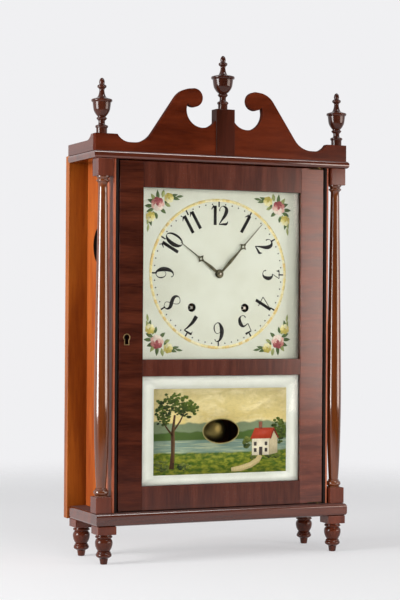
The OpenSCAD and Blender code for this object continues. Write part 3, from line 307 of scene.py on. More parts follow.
def benched(node, material, ease=0.5):
    """A piece as it leaves the bench: its node's shape with the edges eased, in millimetres."""
    same_spot, flat_under, sharp_over = 0.002 * mm, math.radians(0.4), math.radians(38)
    source = frame["nodes"][node]
    work = bmesh.new()
    work.from_mesh(source.data)
    bmesh.ops.remove_doubles(work, verts=work.verts, dist=same_spot)
    bmesh.ops.dissolve_limit(work, angle_limit=flat_under, verts=work.verts, edges=work.edges)
    sharp = [edge for edge in work.edges
             if edge.is_manifold and edge.calc_face_angle(0) > sharp_over]
    if ease:
        bmesh.ops.bevel(work, geom=sharp, offset=ease * mm, segments=2, profile=0.5, affect="EDGES",
                        clamp_overlap=True)
    mesh = bpy.data.meshes.new(node + "_eased")
    work.to_mesh(mesh)
    work.free()
    placed = put(node + "_eased", mesh, material, source["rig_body"])
    placed.modifiers.new("flat_faces", "WEIGHTED_NORMAL").keep_sharp = True
    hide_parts(node)


base_wood = polished("base_wood", shade(60, 22, 11), shade(98, 43, 22), "X", gloss=0.12, shine=1.6)
cornice_wood = polished("cornice_wood", shade(62, 23, 11), shade(104, 48, 28), "X", gloss=0.07, shine=1.7)
benched("base_board", base_wood, 0.6)
benched("top_board", cornice_wood, 0.6)


# Case sides: pine stained orange and left dull, with a polished mahogany strip along the front.
# Their front corners are rounded. Where the front edge turns in to the door it is coloured near
# black, a painted shade of the gap, and each side has a round hole beside the bell, its wall
# coloured near black as painted shade.
side_low, side_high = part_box("right_case_side")
strip_back = side_low.y + 38 * mm
hole_z, hole_r = 486.5 * mm, 30.3 * mm
edge_w, soft = 3.9 * mm, 0.3 * mm
side_wood, shader, here = finish("side_wood", {"Coat Roughness": 0.2, "Specular IOR Level": 0.25})
figure, lines, pores = grain(here, "Z")
polish = 1 - (here.part("Y") + figure * 0.004).rise(strip_back - 0.004, strip_back + 0.004)
stained = blend(figure * 0.6 + lines * 0.4, shade(132, 53, 8), shade(178, 92, 27))
veneered = blend(lines * 0.4 + figure * 0.6, shade(136, 60, 36), shade(184, 106, 70))
outer = blend(polish, blend(pores * 0.3, stained, shade(92, 34, 6)), veneered)
side_x = here.maths("ABSOLUTE", here.part("X"))
inward = 1 - side_x.rise(side_high.x - edge_w - soft, side_high.x - edge_w + soft)
# Painted shade: the inner part of the front edge, where it turns in to the door, is near black.
door_gap_shade = inward * (1 - here.part("Y").rise(side_low.y + 0.004, side_low.y + 0.006))
hole_at = (0, (side_low.y + side_high.y) / 2, hole_z)
inside_hole = 1 - here.stretched((0, 1, 1)).away_from(hole_at).rise(hole_r, hole_r + 0.0004)
# Painted shade: the wall of the hole is coloured near black as well.
sawn = inside_hole * (1 - side_x.rise(side_high.x - 0.0005, side_high.x - 0.0003))
shaded = here.maths("MAXIMUM", door_gap_shade, sawn)
blend(shaded, outer, shade(18, 8, 5)).feed(shader, "Base Color")
(0.62 - 0.36 * polish + 0.1 * lines + 0.5 * shaded).feed(shader, "Roughness")
(polish * (1 - shaded) * 0.1).feed(shader, "Coat Weight")
(lines * 0.3 - pores).bump(0.2, 0.0003).feed(shader, "Normal")
for side in ("left_case_side", "right_case_side"):
    benched(side, side_wood, 0.4)


# Backboard: one wide pine board, stained brown, nailed to the back of the case. It stands out
# on both sides, where its sawn edges show.
back_wood = polished("back_wood", shade(114, 50, 6), shade(168, 92, 24), "Z", gloss=0.4, shine=0.5)
benched("backboard", back_wood, 0.8)


# Columns: slim turned mahogany shafts with a ring at the foot and a flared neck, each set between
# a square plinth and a square capital.
def arc(centre_r, centre_z, radius, first, last, steps=10):
    """Points of an arc between two angles, as radius and height."""
    angles = [math.radians(first + (last - first) * k / steps) for k in range(steps + 1)]
    return [(centre_r + radius * math.cos(a), centre_z + radius * math.sin(a)) for a in angles]


def turned(name, outline, places, material, node, sides=56):
    """Turnings of one outline of radius and height in millimetres, standing at the given places."""
    points = []
    faces = []
    for place in places:
        first = len(points)
        for radius, height in outline:
            for k in range(sides):
                a = 2 * math.pi * k / sides
                points.append(place + Vector((radius * math.cos(a), radius * math.sin(a), height)) * mm)
        last = len(points) - sides
        for ring in range(first, last, sides):
            for k in range(sides):
                a = ring + k
                b = ring + (k + 1) % sides
                faces.append((a, b, b + sides, a + sides))
        faces.append(tuple(range(first + sides - 1, first - 1, -1)))
        faces.append(tuple(range(last, last + sides)))
    mesh = bpy.data.meshes.new(name)
    mesh.from_pydata(points, [], faces)
    placed = put(name, mesh, material, "case", 42)
    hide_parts(node)


shaft_r, shaft_low_r, shaft_top_r = 11.6, 7.6, 6.9
column_low, column_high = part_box("columns")
column_h = (column_high.z - column_low.z) / mm
shaft_z = 13
neck_z = column_h - 11
belly, shaft_steps = 0.28, 32
shaft = []
for k in range(shaft_steps + 1):
    t = k / shaft_steps
    swell = (shaft_r - shaft_low_r) * math.sin(min(1, t / belly) * math.pi / 2) ** 0.8
    fall = (shaft_r - shaft_top_r) * max(0, (t - belly) / (1 - belly)) ** 1.35
    shaft.append((shaft_low_r + swell - fall, shaft_z + (neck_z - shaft_z) * t))
column_outline = [(10.2, 0), (10.2, 1.5)] + arc(7, 6.4, 4.6, -68, 68, 14)
column_outline += [(8.9, 11.2), (8.9, 12.2)] + shaft
column_outline += [(shaft_top_r + 1.8, neck_z + 2.6)]
column_outline += arc(shaft_top_r + 1.4, neck_z + 4.4, 1.9, -60, 60)
column_outline += [(shaft_top_r + 1.2, neck_z + 6.4), (shaft_top_r + 1.6, neck_z + 8),
                   (shaft_top_r + 3.6, column_h - 1), (shaft_top_r + 3.6, column_h)]
column_at = Vector((column_high.x - shaft_r * mm, (column_low.y + column_high.y) / 2, column_low.z))
mirror_x = Vector((-1, 1, 1))
column_wood = polished("column_wood", shade(74, 34, 11), shade(112, 56, 21), "Z", gloss=0.04,
                       shine=1.6)
turned("turned_columns", column_outline, [column_at, column_at * mirror_x], column_wood, "columns")
block_wood = polished("block_wood", shade(76, 32, 19), shade(108, 51, 33), "Z", shine=0.7)
benched("column_blocks", block_wood, 0.8)


# Feet: turned mahogany, tapering down from a bulb between two rings, with a square block glued
# under each corner of the base.
foot_low, foot_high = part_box("feet")
foot_h = (foot_high.z - foot_low.z) / mm
foot_block, foot_block_h = 30, 12.5
foot_neck = foot_h - foot_block_h
foot_ring = foot_neck - 31.5
foot_bulb = foot_neck - 12.5
foot_outline = [(4.9, 0), (5.5, 0.8), (6.6, foot_ring - 5.5), (8.4, foot_ring - 4.2)]
foot_outline += arc(8.6, foot_ring, 3.6, -50, 50) + arc(9.3, foot_ring + 3.9, 1.5, -50, 70)
foot_outline += arc(-8.3, foot_bulb, 21.8, -38, 0) + arc(5.95, foot_bulb, 7.55, 10, 54, 8)
foot_outline += [(10.4, foot_neck - 5.8)] + arc(11.4, foot_neck - 3.8, 1.8, -80, 80)
foot_outline += [(11.6, foot_neck - 1.8), (11.6, foot_neck + 0.2)]
inset = foot_block / 2 * mm
foot_places = [Vector((x, y, foot_low.z)) for x in (foot_low.x + inset, foot_high.x - inset)
               for y in (foot_low.y + inset, foot_high.y - inset)]
foot_wood = polished("foot_wood", shade(54, 22, 11), shade(94, 42, 24), "Z", gloss=0.1, shine=0.6)
turned("turned_feet", foot_outline, foot_places, foot_wood, "feet")
work = bmesh.new()
for place in foot_places:
    block = bmesh.ops.create_cube(work, size=1)["verts"]
    for corner in block:
        corner.co = place + Vector((corner.co.x * foot_block, corner.co.y * foot_block,
                                    foot_neck + (corner.co.z + 0.5) * foot_block_h)) * mm
bmesh.ops.bevel(work, geom=work.edges[:], offset=0.8 * mm, segments=2, profile=0.5, affect="EDGES")
mesh = bpy.data.meshes.new("foot_blocks")
work.to_mesh(mesh)
work.free()
foot_blocks = put("foot_blocks", mesh, block_wood, "case")
foot_blocks.modifiers.new("flat_faces", "WEIGHTED_NORMAL").keep_sharp = True


# Scroll board, middle plinth and side returns: veneered mahogany, sawn to shape and glued on the
# top board, with small blocks in the corners under the finials.
scroll_wood = polished("scroll_wood", shade(60, 18, 4), shade(94, 34, 10), "X", lengthwise=5, shine=0.3,
                       sawn=1.0)
benched("scroll_board", scroll_wood, 0.6)
plinth_wood = polished("plinth_wood", shade(38, 14, 6), shade(66, 26, 14), "Z", shine=0.3, sawn=0.5)
benched("pediment_blocks", plinth_wood, 0.7)
return_wood = polished("return_wood", shade(72, 34, 25), shade(106, 58, 44), "Y", shine=0.75)
benched("scroll_returns", return_wood, 0.6)


# Finials: turned mahogany urns with a lid and a bud, on the pediment's corners and on the middle
# plinth. The middle one has a wider cup.
finial_h, finial_lid_h = 85, 33
corner_finial_r, middle_finial_r = 16.25, 18.75
corner_collar_r, middle_collar_r = 8.4, 7.5
corner_forward = 0.1 * mm


def eased(points, steps=4):
    """A smooth line through the given points."""
    line = []
    ends = [points[0]] + list(points) + [points[-1]]
    for a, b, c, d in zip(ends, ends[1:], ends[2:], ends[3:]):
        for k in range(steps):
            t = k / steps
            line.append(tuple(0.5 * (2 * q + (r - p) * t + (2 * p - 5 * q + 4 * r - s) * t * t
                                     + (3 * q - p - 3 * r + s) * t ** 3)
                              for p, q, r, s in zip(a, b, c, d)))
    return line + [tuple(points[-1])]


def finial_outline(widest, collar_r):
    """Collar, neck, cup, lid and bud of an urn, as radius and height in millimetres."""
    lid_z = finial_h - finial_lid_h
    cup_z = 26
    cup_h = lid_z - 4.6 - cup_z
    cup = [(0.38, 0), (0.53, 0.12), (0.68, 0.3), (0.77, 0.46), (0.81, 0.63), (0.845, 0.84), (0.86, 1)]
    outline = [(collar_r, 0), (collar_r, 8.2)]
    outline += eased([(collar_r + 0.9, 8.8), (collar_r + 1.5, 10.4), (collar_r + 0.8, 12.2), (6.6, 13.2),
                      (5.2, 15), (5.1, 19.4)])
    outline += eased([(6.6, 20.8), (8, 22.6), (7.8, 24), (6.2, 25.2)])
    outline += eased([(widest * share, cup_z + cup_h * rise) for share, rise in cup])
    outline += eased([(widest - 0.7, lid_z - 3.6), (widest, lid_z - 1.8), (widest - 0.5, lid_z)])
    outline += eased([(widest - 3, lid_z + 1), (8.5, lid_z + 2.4), (6.4, lid_z + 4.4), (5, lid_z + 7.5),
                      (4.2, lid_z + 11), (3.8, lid_z + 14.6)])
    outline += eased([(4.6, lid_z + 16.6), (6.4, lid_z + 17.8), (7.1, lid_z + 19.6), (6.6, lid_z + 21.4),
                      (4.4, lid_z + 22.8)])
    outline += eased([(3.9, lid_z + 23.6), (4.3, lid_z + 26), (3.9, lid_z + 29.2), (2.6, lid_z + 31.8),
                      (0.8, finial_h)])
    return outline


finial_low, finial_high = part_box("finials")
middle_at = Vector((0, finial_high.y - middle_finial_r * mm, finial_high.z - finial_h * mm))
corner_at = Vector((finial_high.x - corner_finial_r * mm, middle_at.y - corner_forward, finial_low.z))
finial_wood = polished("finial_wood", shade(42, 16, 9), shade(74, 34, 20), "Z", gloss=0.1, shine=0.75)
turned("corner_finials", finial_outline(corner_finial_r, corner_collar_r),
       [corner_at, corner_at * mirror_x], finial_wood, "finials")
turned("middle_finial", finial_outline(middle_finial_r, middle_collar_r), [middle_at], finial_wood,
       "finials")


# Door: pine stiles and rails faced with mahogany veneer laid across them, so the grain runs
# across every member, polished and a little crazed.
veneer = {"across": 55, "lengthwise": 6}
lock_stile_wood = polished("lock_stile_wood", shade(42, 14, 7), shade(82, 33, 16), "X", shine=0.4,
                           **veneer)
# The hinge stile's veneer is coloured lighter than the lock stile's, a painted sheen on that side.
hinge_stile_sheen_wood = polished("hinge_stile_sheen_wood", shade(64, 21, 9), shade(106, 44, 22), "X", gloss=0.2,
                            shine=1.3, crazed=4.0, **veneer)
rail_wood = polished("rail_wood", shade(54, 19, 9), shade(86, 36, 20), "Z", gloss=0.2, shine=0.8,
                     crazed=2.0, **veneer)
benched("lock_stile", lock_stile_wood, 0.6)
benched("hinge_stile", hinge_stile_sheen_wood, 0.6)
for rail in ("top_rail", "middle_rail", "bottom_rail"):
    benched(rail, rail_wood, 0.6)


# Hidden woodwork: oak for the plates and pillars of the movement, the front plate darkened round
# the winding arbors by oil stain and by painted shade, cherry for its wheels, pine for the battens,
# and dark brown pine for the strips that hold the panes.
close_grain = {"across": 60, "lengthwise": 5}


def bare(name, dark, light, along, oil_and_shade_at=()):
    """Plain wood, darkened round the given places by oil stain and by painted shade."""
    material, shader, here = finish(name, {"Specular IOR Level": 0.3})
    figure, lines, pores = grain(here, along, **close_grain)
    wood = blend(figure * 0.5 + lines * 0.5, dark, light)
    for x, z in oil_and_shade_at:
        near = 1 - here.stretched((1, 0, 1)).away_from((x, 0, z)).rise(0.010, 0.018)
        wood = blend(near, wood, shade(22, 16, 11))
    wood.feed(shader, "Base Color")
    (0.6 + 0.2 * pores).feed(shader, "Roughness")
    (lines * 0.4 - pores).bump(0.3, 0.0003).feed(shader, "Normal")
    return material


oak_tones = shade(150, 112, 70), shade(196, 160, 110)
cherry_tones = shade(136, 78, 42), shade(178, 116, 70)
drum_x, drum_z = 46, 391
winding_x, winding_z = drum_x * mm, drum_z * mm
oak = bare("oak", *oak_tones, "X")
# Round the winding arbors the front plate is near black: oil stain, and painted shade behind the holes.
oil_and_shade_oak = bare("oil_and_shade_oak", *oak_tones, "X", [(-winding_x, winding_z), (winding_x, winding_z)])
pine = bare("pine", shade(150, 104, 60), shade(192, 146, 92), "X")
cherry = bare("cherry", *cherry_tones, "Z")
dark_pine = bare("dark_pine", shade(34, 18, 11), shade(56, 30, 18), "X")
dress(oak, "back_plate", "plate_pillars")
dress(oil_and_shade_oak, "front_plate")
dress(pine, "case_battens")
dress(dark_pine, "glazing_strips")
dress(cherry, "hour_wheel", "minute_wheel", "time_great_wheel", "third_wheel", "escape_wheel",
      "strike_great_wheel", "pin_wheel", "warning_wheel", "fly", "time_pulley", "strike_pulley")


# Metalwork: brass, steel and iron, cast or drawn and dulled by age. The bell is cast; the lock, the
# plates of the door's pivots, the escutcheon and the brackets are screwed or pinned to the wood.
def metal(name, dark, light, gloss, spots=400):
    """Metal from its darkest stain to its lightest."""
    material, shader, here = finish(name, {"Metallic": 1.0})
    stain = here.noise((spots / 5,) * 3, 3).rise(0.35, 0.7)
    scratch = here.noise((spots, spots, spots / 12), 2)
    blend(stain, dark, light).feed(shader, "Base Color")
    (gloss + 0.18 * scratch + 0.1 * stain).feed(shader, "Roughness")
    scratch.bump(0.15, 0.0001).feed(shader, "Normal")
    return material


brass = metal("brass", shade(140, 112, 58), shade(206, 178, 112), 0.22)
dull_brass = metal("dull_brass", shade(112, 92, 60), shade(168, 146, 104), 0.34)
steel = metal("steel", shade(120, 118, 114), shade(180, 178, 172), 0.25)
iron = metal("iron", shade(40, 38, 36), shade(74, 70, 66), 0.5)
bell_metal = metal("bell_metal", shade(132, 112, 78), shade(188, 168, 124), 0.3)
dress(brass, "front_bridge", "pivot_pins", "verge")
dress(steel, "lock_bolt", "pendulum_rod", "hammer", "bell_stand", "pulley_brackets")
dress(iron, "lock_case", "time_weight", "strike_weight")
dress(bell_metal, "bell")
benched("keyhole_escutcheon", dull_brass, 0.2)
benched("pivot_plates", metal("worn_plates", shade(44, 32, 22), shade(96, 80, 62), 0.45), 0.2)
benched("pendulum_bob", metal("bob_brass", shade(116, 104, 56), shade(150, 136, 82), 0.24, 90), 0)


# Winding drums and centre wheel: cherry on steel arbors. The drums' squared ends stand in the dial's
# winding holes, and the centre arbor carries the minute hand.
shoulder_y = -18 * mm
drum_wood, shader, here = finish("drum_wood", {})
figure, lines, pores = grain(here, "Y", **close_grain)
squared = 1 - here.part("Y").rise(shoulder_y - 0.5 * mm, shoulder_y)
# Painted highlight: the squared steel ends are light on their end faces and dark on their sides.
end_highlight = 1 - here.node("ShaderNodeNewGeometry", {}, {}, "Normal").part("Y").rise(-0.9, -0.7)
turning = blend(figure * 0.5 + lines * 0.5, *cherry_tones)
forged = blend(end_highlight, shade(34, 32, 29), shade(206, 204, 192))
blend(squared, turning, forged).feed(shader, "Base Color")
squared.feed(shader, "Metallic")
(0.6 - 0.3 * squared).feed(shader, "Roughness")
dress(drum_wood, "time_drum", "strike_drum", "centre_wheel")


# Panes: thin old window glass, slightly wavy, cut to the door's two openings and held in their
# rebates by pine strips.
pane, shader, here = finish("pane", {})
pane.node_tree.nodes.remove(shader)
wave = here.noise((16, 16, 9), 1).bump(0.10, 0.004)
gleam = here.node("ShaderNodeBsdfGlossy", {}, {"Roughness": 0.03, "Normal": wave})
clear = here.node("ShaderNodeBsdfTransparent", {}, {"Color": (1, 1, 1, 1)})
edge_on = here.node("ShaderNodeFresnel", {}, {"IOR": 1.45})
glass = here.node("ShaderNodeMixShader", {}, {0: edge_on * 0.4, 1: clear, 2: gleam})
glass.feed(pane.node_tree.nodes["Material Output"], "Surface")
dress(pane, "dial_glass", "tablet_glass")


# Dial board: pine, painted greenish cream, bored for the centre arbor and the two winding squares,
# and pinned to battens inside the case.
dial_low, dial_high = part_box("dial")
dial_front = dial_low.y
dial_z = (dial_low.z + dial_high.z) / 2 / mm
bore_r = 7.1 * mm
dial_paint, shader, here = finish("dial_paint", {"Specular IOR Level": 0.35, "Coat Roughness": 0.3})
cloud = here.noise((12, 12, 12), 4).rise(0.3, 0.75)
specks = here.noise((340, 340, 340), 2).rise(0.66, 0.76)
cream = blend(cloud, shade(208, 210, 189), shade(221, 224, 206))
bored = here.stretched((1, 0, 1))
from_bore = here.maths("MINIMUM", bored.away_from((winding_x, 0, winding_z)),
                       bored.away_from((-winding_x, 0, winding_z)))
# Painted shade: below the dial's face the walls of the winding holes are coloured near black.
deep = here.part("Y").rise(dial_front + 0.0004, dial_front + 0.0008)
bore_wall_shade = (1 - from_bore.rise(bore_r, bore_r + 0.3 * mm)) * deep
blend(bore_wall_shade, blend(specks * 0.35, cream, shade(168, 160, 128)), shade(20, 17, 14)).feed(shader, "Base Color")
(0.42 + 0.15 * cloud).feed(shader, "Roughness")
here.noise((150, 150, 150), 3).bump(0.12, 0.0003).feed(shader, "Normal")
benched("dial", dial_paint, 0.4)


# Gold ring: a narrow band of gold paint round the minutes, laid on the dial in short strokes that
# differ a little in tone.
paint_thickness, layer_step = 0.08, 0.03


def brushwork(name, constants):
    """Oil paint of the colours that are given to each mark."""
    material, shader, here = finish(name, constants)
    tint = here.node("ShaderNodeVertexColor", {"layer_name": "tint"}, {}, "Color")
    strokes = here.noise((420, 420, 160), 3)
    thin = here.node("ShaderNodeMix", {"data_type": "RGBA", "blend_type": "MULTIPLY"},
                     {0: strokes.rise(0.35, 0.75) * 0.2, 6: tint, 7: shade(150, 136, 110)}, 2)
    thin.feed(shader, "Base Color")
    (0.35 + 0.25 * strokes).feed(shader, "Roughness")
    strokes.bump(0.2, 0.0001).feed(shader, "Normal")
    return material


def strip(run):
    """Points and faces of a brush stroke through x, z and half a width at each point."""
    points = []
    for k, (x, z, half) in enumerate(run):
        before, after = run[max(k - 1, 0)], run[min(k + 1, len(run) - 1)]
        along = Vector((after[0] - before[0], after[1] - before[1])).normalized()
        points += [(x + along.y * half, z - along.x * half), (x - along.y * half, z + along.x * half)]
    return points, [(2 * k, 2 * k + 2, 2 * k + 3, 2 * k + 1) for k in range(len(run) - 1)]


def patch(outline):
    """Points and the one face of a flat mark."""
    return list(outline), [tuple(range(len(outline)))]


def disc(x, z, radius, sides, height=None):
    """A round mark, or an oval one where half its height is given."""
    angles = [2 * math.pi * k / sides for k in range(sides)]
    return patch([(x + radius * math.cos(a), z + (height or radius) * math.sin(a)) for a in angles])


def painted(name, marks, back, material, body):
    """Thin marks of paint in millimetres: each has points, faces, its colour and its layer."""
    points = []
    faces = []
    tints = []
    for (mark_points, mark_faces), tint, layer in marks:
        first = len(points)
        points += [(x * mm, back - layer * layer_step * mm, z * mm) for x, z in mark_points]
        faces += [tuple(first + k for k in face) for face in mark_faces]
        tints += [tint] * len(mark_points)
    mesh = bpy.data.meshes.new(name)
    mesh.from_pydata(points, [], faces)
    colours = mesh.color_attributes.new("tint", "FLOAT_COLOR", "POINT")
    for k, tint in enumerate(tints):
        colours.data[k].color = tint
    placed = put(name, mesh, material, body)
    coat = placed.modifiers.new("thickness", "SOLIDIFY")
    coat.thickness = paint_thickness * mm
    coat.offset = -1


dial_oil = brushwork("dial_oil", {"Specular IOR Level": 0.4})
on_dial = dial_front - paint_thickness * mm
ring_r, ring_half = 116.3, 2.3
brush = random.Random(7)
golds = [shade(246, 232, 170), shade(244, 226, 154), shade(248, 238, 190), shade(240, 212, 138)]
marks = []
for k in range(120):
    run = [(ring_r * math.sin(a), dial_z + ring_r * math.cos(a), ring_half)
           for a in (math.radians(3 * k + onward) for onward in (-0.1, 1, 2, 3.1))]
    marks.append((strip(run), brush.choice(golds), k % 2))
painted("dial_ring", marks, on_dial, dial_oil, "case")


# Minute marks: black oil paint inside the gold ring, a dot for each minute and a short bar at each
# hour.
black = shade(20, 19, 18)
minute_r, dot_r = 110, 1.15
bar_low, bar_high, bar_half = 105.4, 113.8, 1.15
marks = []
for minute in range(60):
    a = math.radians(6 * minute)
    x, z = math.sin(a), math.cos(a)
    if minute % 5:
        marks.append((disc(minute_r * x, dial_z + minute_r * z, dot_r, 10), black, 0))
    else:
        bar = [(r * x, dial_z + r * z, bar_half) for r in (bar_low, bar_high)]
        marks.append((strip(bar), black, 0))
painted("minute_marks", marks, on_dial, dial_oil, "case")


# Numerals: black oil paint, drawn with fat and thin strokes, their feet towards the centre of the
# dial. Each stroke is a run of points with half its width, for a figure one unit high.
nought = [(0.24 * math.cos(a), 0.5 + 0.49 * math.sin(a), 0.018 + 0.09 * max(0, -math.cos(a)) ** 1.5
           + 0.04 * max(0, math.cos(a)) ** 1.5) for a in (math.pi / 12 * k for k in range(25))]
six = [(0.2, 0.86, 0.03), (0.12, 0.97, 0.02), (-0.06, 0.92, 0.05), (-0.18, 0.66, 0.1),
       (-0.19, 0.34, 0.11), (-0.08, 0.06, 0.05), (0.06, 0.01, 0.02), (0.2, 0.12, 0.025),
       (0.24, 0.3, 0.035), (0.17, 0.5, 0.02), (0.02, 0.56, 0.014), (-0.12, 0.46, 0.012)]
bowl = [(-0.04, 0.57, 0.015), (0.1, 0.55, 0.05), (0.19, 0.36, 0.1), (0.12, 0.1, 0.07), (-0.04, 0.015, 0.02),
        (-0.18, 0.07, 0.02), (-0.22, 0.2, 0.035)]
figures = {
    0: [nought],
    1: [[(0.02, 0, 0.085), (0.02, 1, 0.085)], [(-0.2, 0.8, 0.012), (-0.04, 1, 0.06)]],
    2: [[(-0.2, 0.72, 0.035), (-0.18, 0.86, 0.02), (-0.02, 0.985, 0.02), (0.15, 0.9, 0.07),
         (0.19, 0.74, 0.1), (0.11, 0.52, 0.09), (-0.06, 0.28, 0.05), (-0.22, 0.05, 0.02)],
        [(-0.24, 0.025, 0.02), (0, 0.05, 0.05), (0.18, 0.06, 0.06), (0.27, 0.2, 0.015)]],
    3: [[(-0.2, 0.97, 0.025), (0.2, 0.97, 0.02)], [(-0.2, 0.98, 0.07), (-0.2, 0.8, 0.005)],
        [(0.2, 0.97, 0.02), (-0.04, 0.57, 0.015)], bowl],
    4: [[(0.08, 0, 0.08), (0.08, 1, 0.08)], [(0.06, 0.97, 0.02), (-0.26, 0.3, 0.02)],
        [(-0.27, 0.28, 0.022), (0.28, 0.28, 0.022)]],
    5: [[(-0.16, 0.97, 0.03), (0.2, 0.95, 0.06)], [(-0.16, 0.97, 0.02), (-0.19, 0.54, 0.018)],
        [(-0.19, 0.54, 0.015)] + bowl[1:]],
    6: [six],
    7: [[(-0.22, 0.95, 0.06), (0.22, 0.96, 0.03)], [(-0.21, 0.98, 0.05), (-0.23, 0.78, 0.005)],
        [(0.21, 0.95, 0.02), (0.1, 0.7, 0.05), (0, 0.35, 0.09), (-0.02, 0, 0.11)]],
    8: [[(0.17, 0.86, 0.015), (0.02, 0.985, 0.018), (-0.15, 0.86, 0.05), (-0.12, 0.66, 0.09),
         (0.03, 0.5, 0.1), (0.17, 0.3, 0.09), (0.16, 0.1, 0.05), (0, 0.01, 0.018), (-0.19, 0.1, 0.018),
         (-0.21, 0.26, 0.018), (-0.06, 0.48, 0.015), (0.13, 0.66, 0.015), (0.2, 0.78, 0.015),
         (0.17, 0.86, 0.015)]],
    9: [[(-x, 1 - z, half) for x, z, half in six]],
}
numeral_low, numeral_h, digit_step = 77, 30.5, 14.5
marks = []
for hour in range(1, 13):
    a = math.radians(30 * hour)
    outward_x, outward_z = math.sin(a), math.cos(a)
    digits = [int(mark) for mark in str(hour)]
    for place, digit in enumerate(digits):
        shift = (place - (len(digits) - 1) / 2) * digit_step
        for layer, run in enumerate(figures[digit]):
            placed = []
            for x, z, half in (eased(run, 5) if len(run) > 2 else run):
                across, out = shift + x * numeral_h, numeral_low + z * numeral_h
                placed.append((across * outward_z + out * outward_x,
                               dial_z - across * outward_x + out * outward_z, half * numeral_h))
            marks.append((strip(placed), black, layer))
painted("numerals", marks, on_dial, dial_oil, "case")


# Corner sprays: oil paint on the dial, in each corner a rose between two yellow flowers, with
# leaves behind them. One spray is drawn for the upper left corner and turned over for the others.
leaf_green, leaf_light = shade(86, 108, 62), shade(156, 166, 102)
rose_tones = [shade(170, 88, 90), shade(210, 138, 130), shade(238, 194, 178), shade(246, 230, 212)]
yellow_tones = [shade(206, 190, 96), shade(224, 208, 120), shade(238, 226, 150), shade(246, 240, 188)]


def leaf(x, z, angle, length, width):
    """A pointed leaf that grows from a place at an angle in degrees."""
    run = [(0, 0.05), (0.25, 0.75), (0.5, 1.0), (0.75, 0.7), (1, 0.05)]
    a = math.radians(angle)
    return strip(eased([(x + t * length * math.cos(a), z + t * length * math.sin(a), w * width / 2)
                        for t, w in run], 3))


def bloom(x, z, radius, petals, tones, layer):
    """A flower: two rings of petals round a dark heart, its petals paler towards the bottom."""
    made = []
    for ring, reach in enumerate((0.62, 0.34)):
        for k in range(petals):
            a = 2 * math.pi * (k + 0.5 * ring) / petals
            petal = disc(x + radius * reach * math.cos(a), z + radius * reach * math.sin(a),
                         radius * (0.44 - 0.1 * ring), 12)
            paler = (1 - math.sin(a)) / 2
            made.append((petal, tones[round(paler * (len(tones) - 1))], layer + ring + k / petals))
    made.append((disc(x, z, radius * 0.24, 10), tones[0], layer + 2))
    return made


spray_leaves = [(-106, 108, 125, 18, 7), (-106, 108, 160, 17, 7), (-111, 100, 205, 14, 6),
                (-97, 117, 80, 13, 6), (-88, 117, 20, 18, 6), (-82, 118, -12, 15, 5), (-117, 90, 250, 17, 6),
                (-119, 86, 285, 14, 5), (-101, 101, -40, 13, 6), (-113, 96, 300, 12, 5),
                (-93, 113, -60, 12, 5), (-74, 119, 8, 13, 4), (-120, 76, 262, 13, 4), (-104, 112, 95, 17, 6),
                (-112, 104, 182, 15, 6), (-92, 108, -25, 10, 5), (-108, 94, 280, 11, 5)]
for corner, (flip_x, flip_z) in enumerate(((1, 1), (-1, 1), (1, -1), (-1, -1))):
    spray = []
    for k, (x, z, angle, length, width) in enumerate(spray_leaves):
        tint = leaf_green if k % 3 else leaf_light
        spray.append((leaf(x, z, angle, length, width), tint, k / len(spray_leaves)))
    spray += bloom(-105, 107, 10.8, 7, rose_tones, 1)
    spray += bloom(-86, 117, 7.8, 7, yellow_tones, 1)
    spray += bloom(-117, 87, 7.8, 7, yellow_tones, 1)
    marks = []
    for (points, faces), tint, layer in spray:
        points = [(flip_x * x, dial_z + flip_z * z) for x, z in points]
        if flip_x * flip_z < 0:
            faces = [face[::-1] for face in faces]
        marks.append(((points, faces), tint, layer))
    painted(f"corner_spray_{corner}", marks, on_dial, dial_oil, "case")


# Hands: dark steel filed from sheet, each with an open four-pointed ornament and a round collet.
# The hour hand is pressed on the hour wheel's pipe and the minute hand on the centre arbor.
hand_steel = metal("hand_steel", shade(84, 84, 66), shade(122, 120, 98), 0.34)
benched("hour_hand", hand_steel, 0.25)
benched("minute_hand", hand_steel, 0.25)


# Tablet picture: oil paint on the back of the lower pane, a landscape of hills, a lake and a lawn
# under an evening sky, with an oval left clear so that the bob can be seen.
behind_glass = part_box("tablet_glass")[1].y + 0.9 * mm
border_x, border_low, border_high = 139.5, 113.0, 288.0
picture_x, picture_low, picture_high = 114.5, 131.0, 264.5
oval_z, oval_x, oval_h = 197.4, 30.2, 18.7
oval_sides = 120


def surround(outer, inner):
    """A flat ring between two outlines that have the same number of points."""
    count = len(outer)
    faces = [(k, (k + 1) % count, count + (k + 1) % count, count + k) for k in range(count)]
    return outer + inner, faces


def panel(half_x, low, high, directions):
    """Where lines from the oval's centre in the given directions meet a rectangle."""
    edge = []
    for a in directions:
        x, z = math.cos(a), math.sin(a)
        to_side = half_x / max(abs(x), 1e-9)
        to_end = ((high if z > 0 else low) - oval_z) / z if abs(z) > 1e-9 else to_side
        reach = min(to_side, to_end)
        edge.append((x * reach, oval_z + z * reach))
    return edge


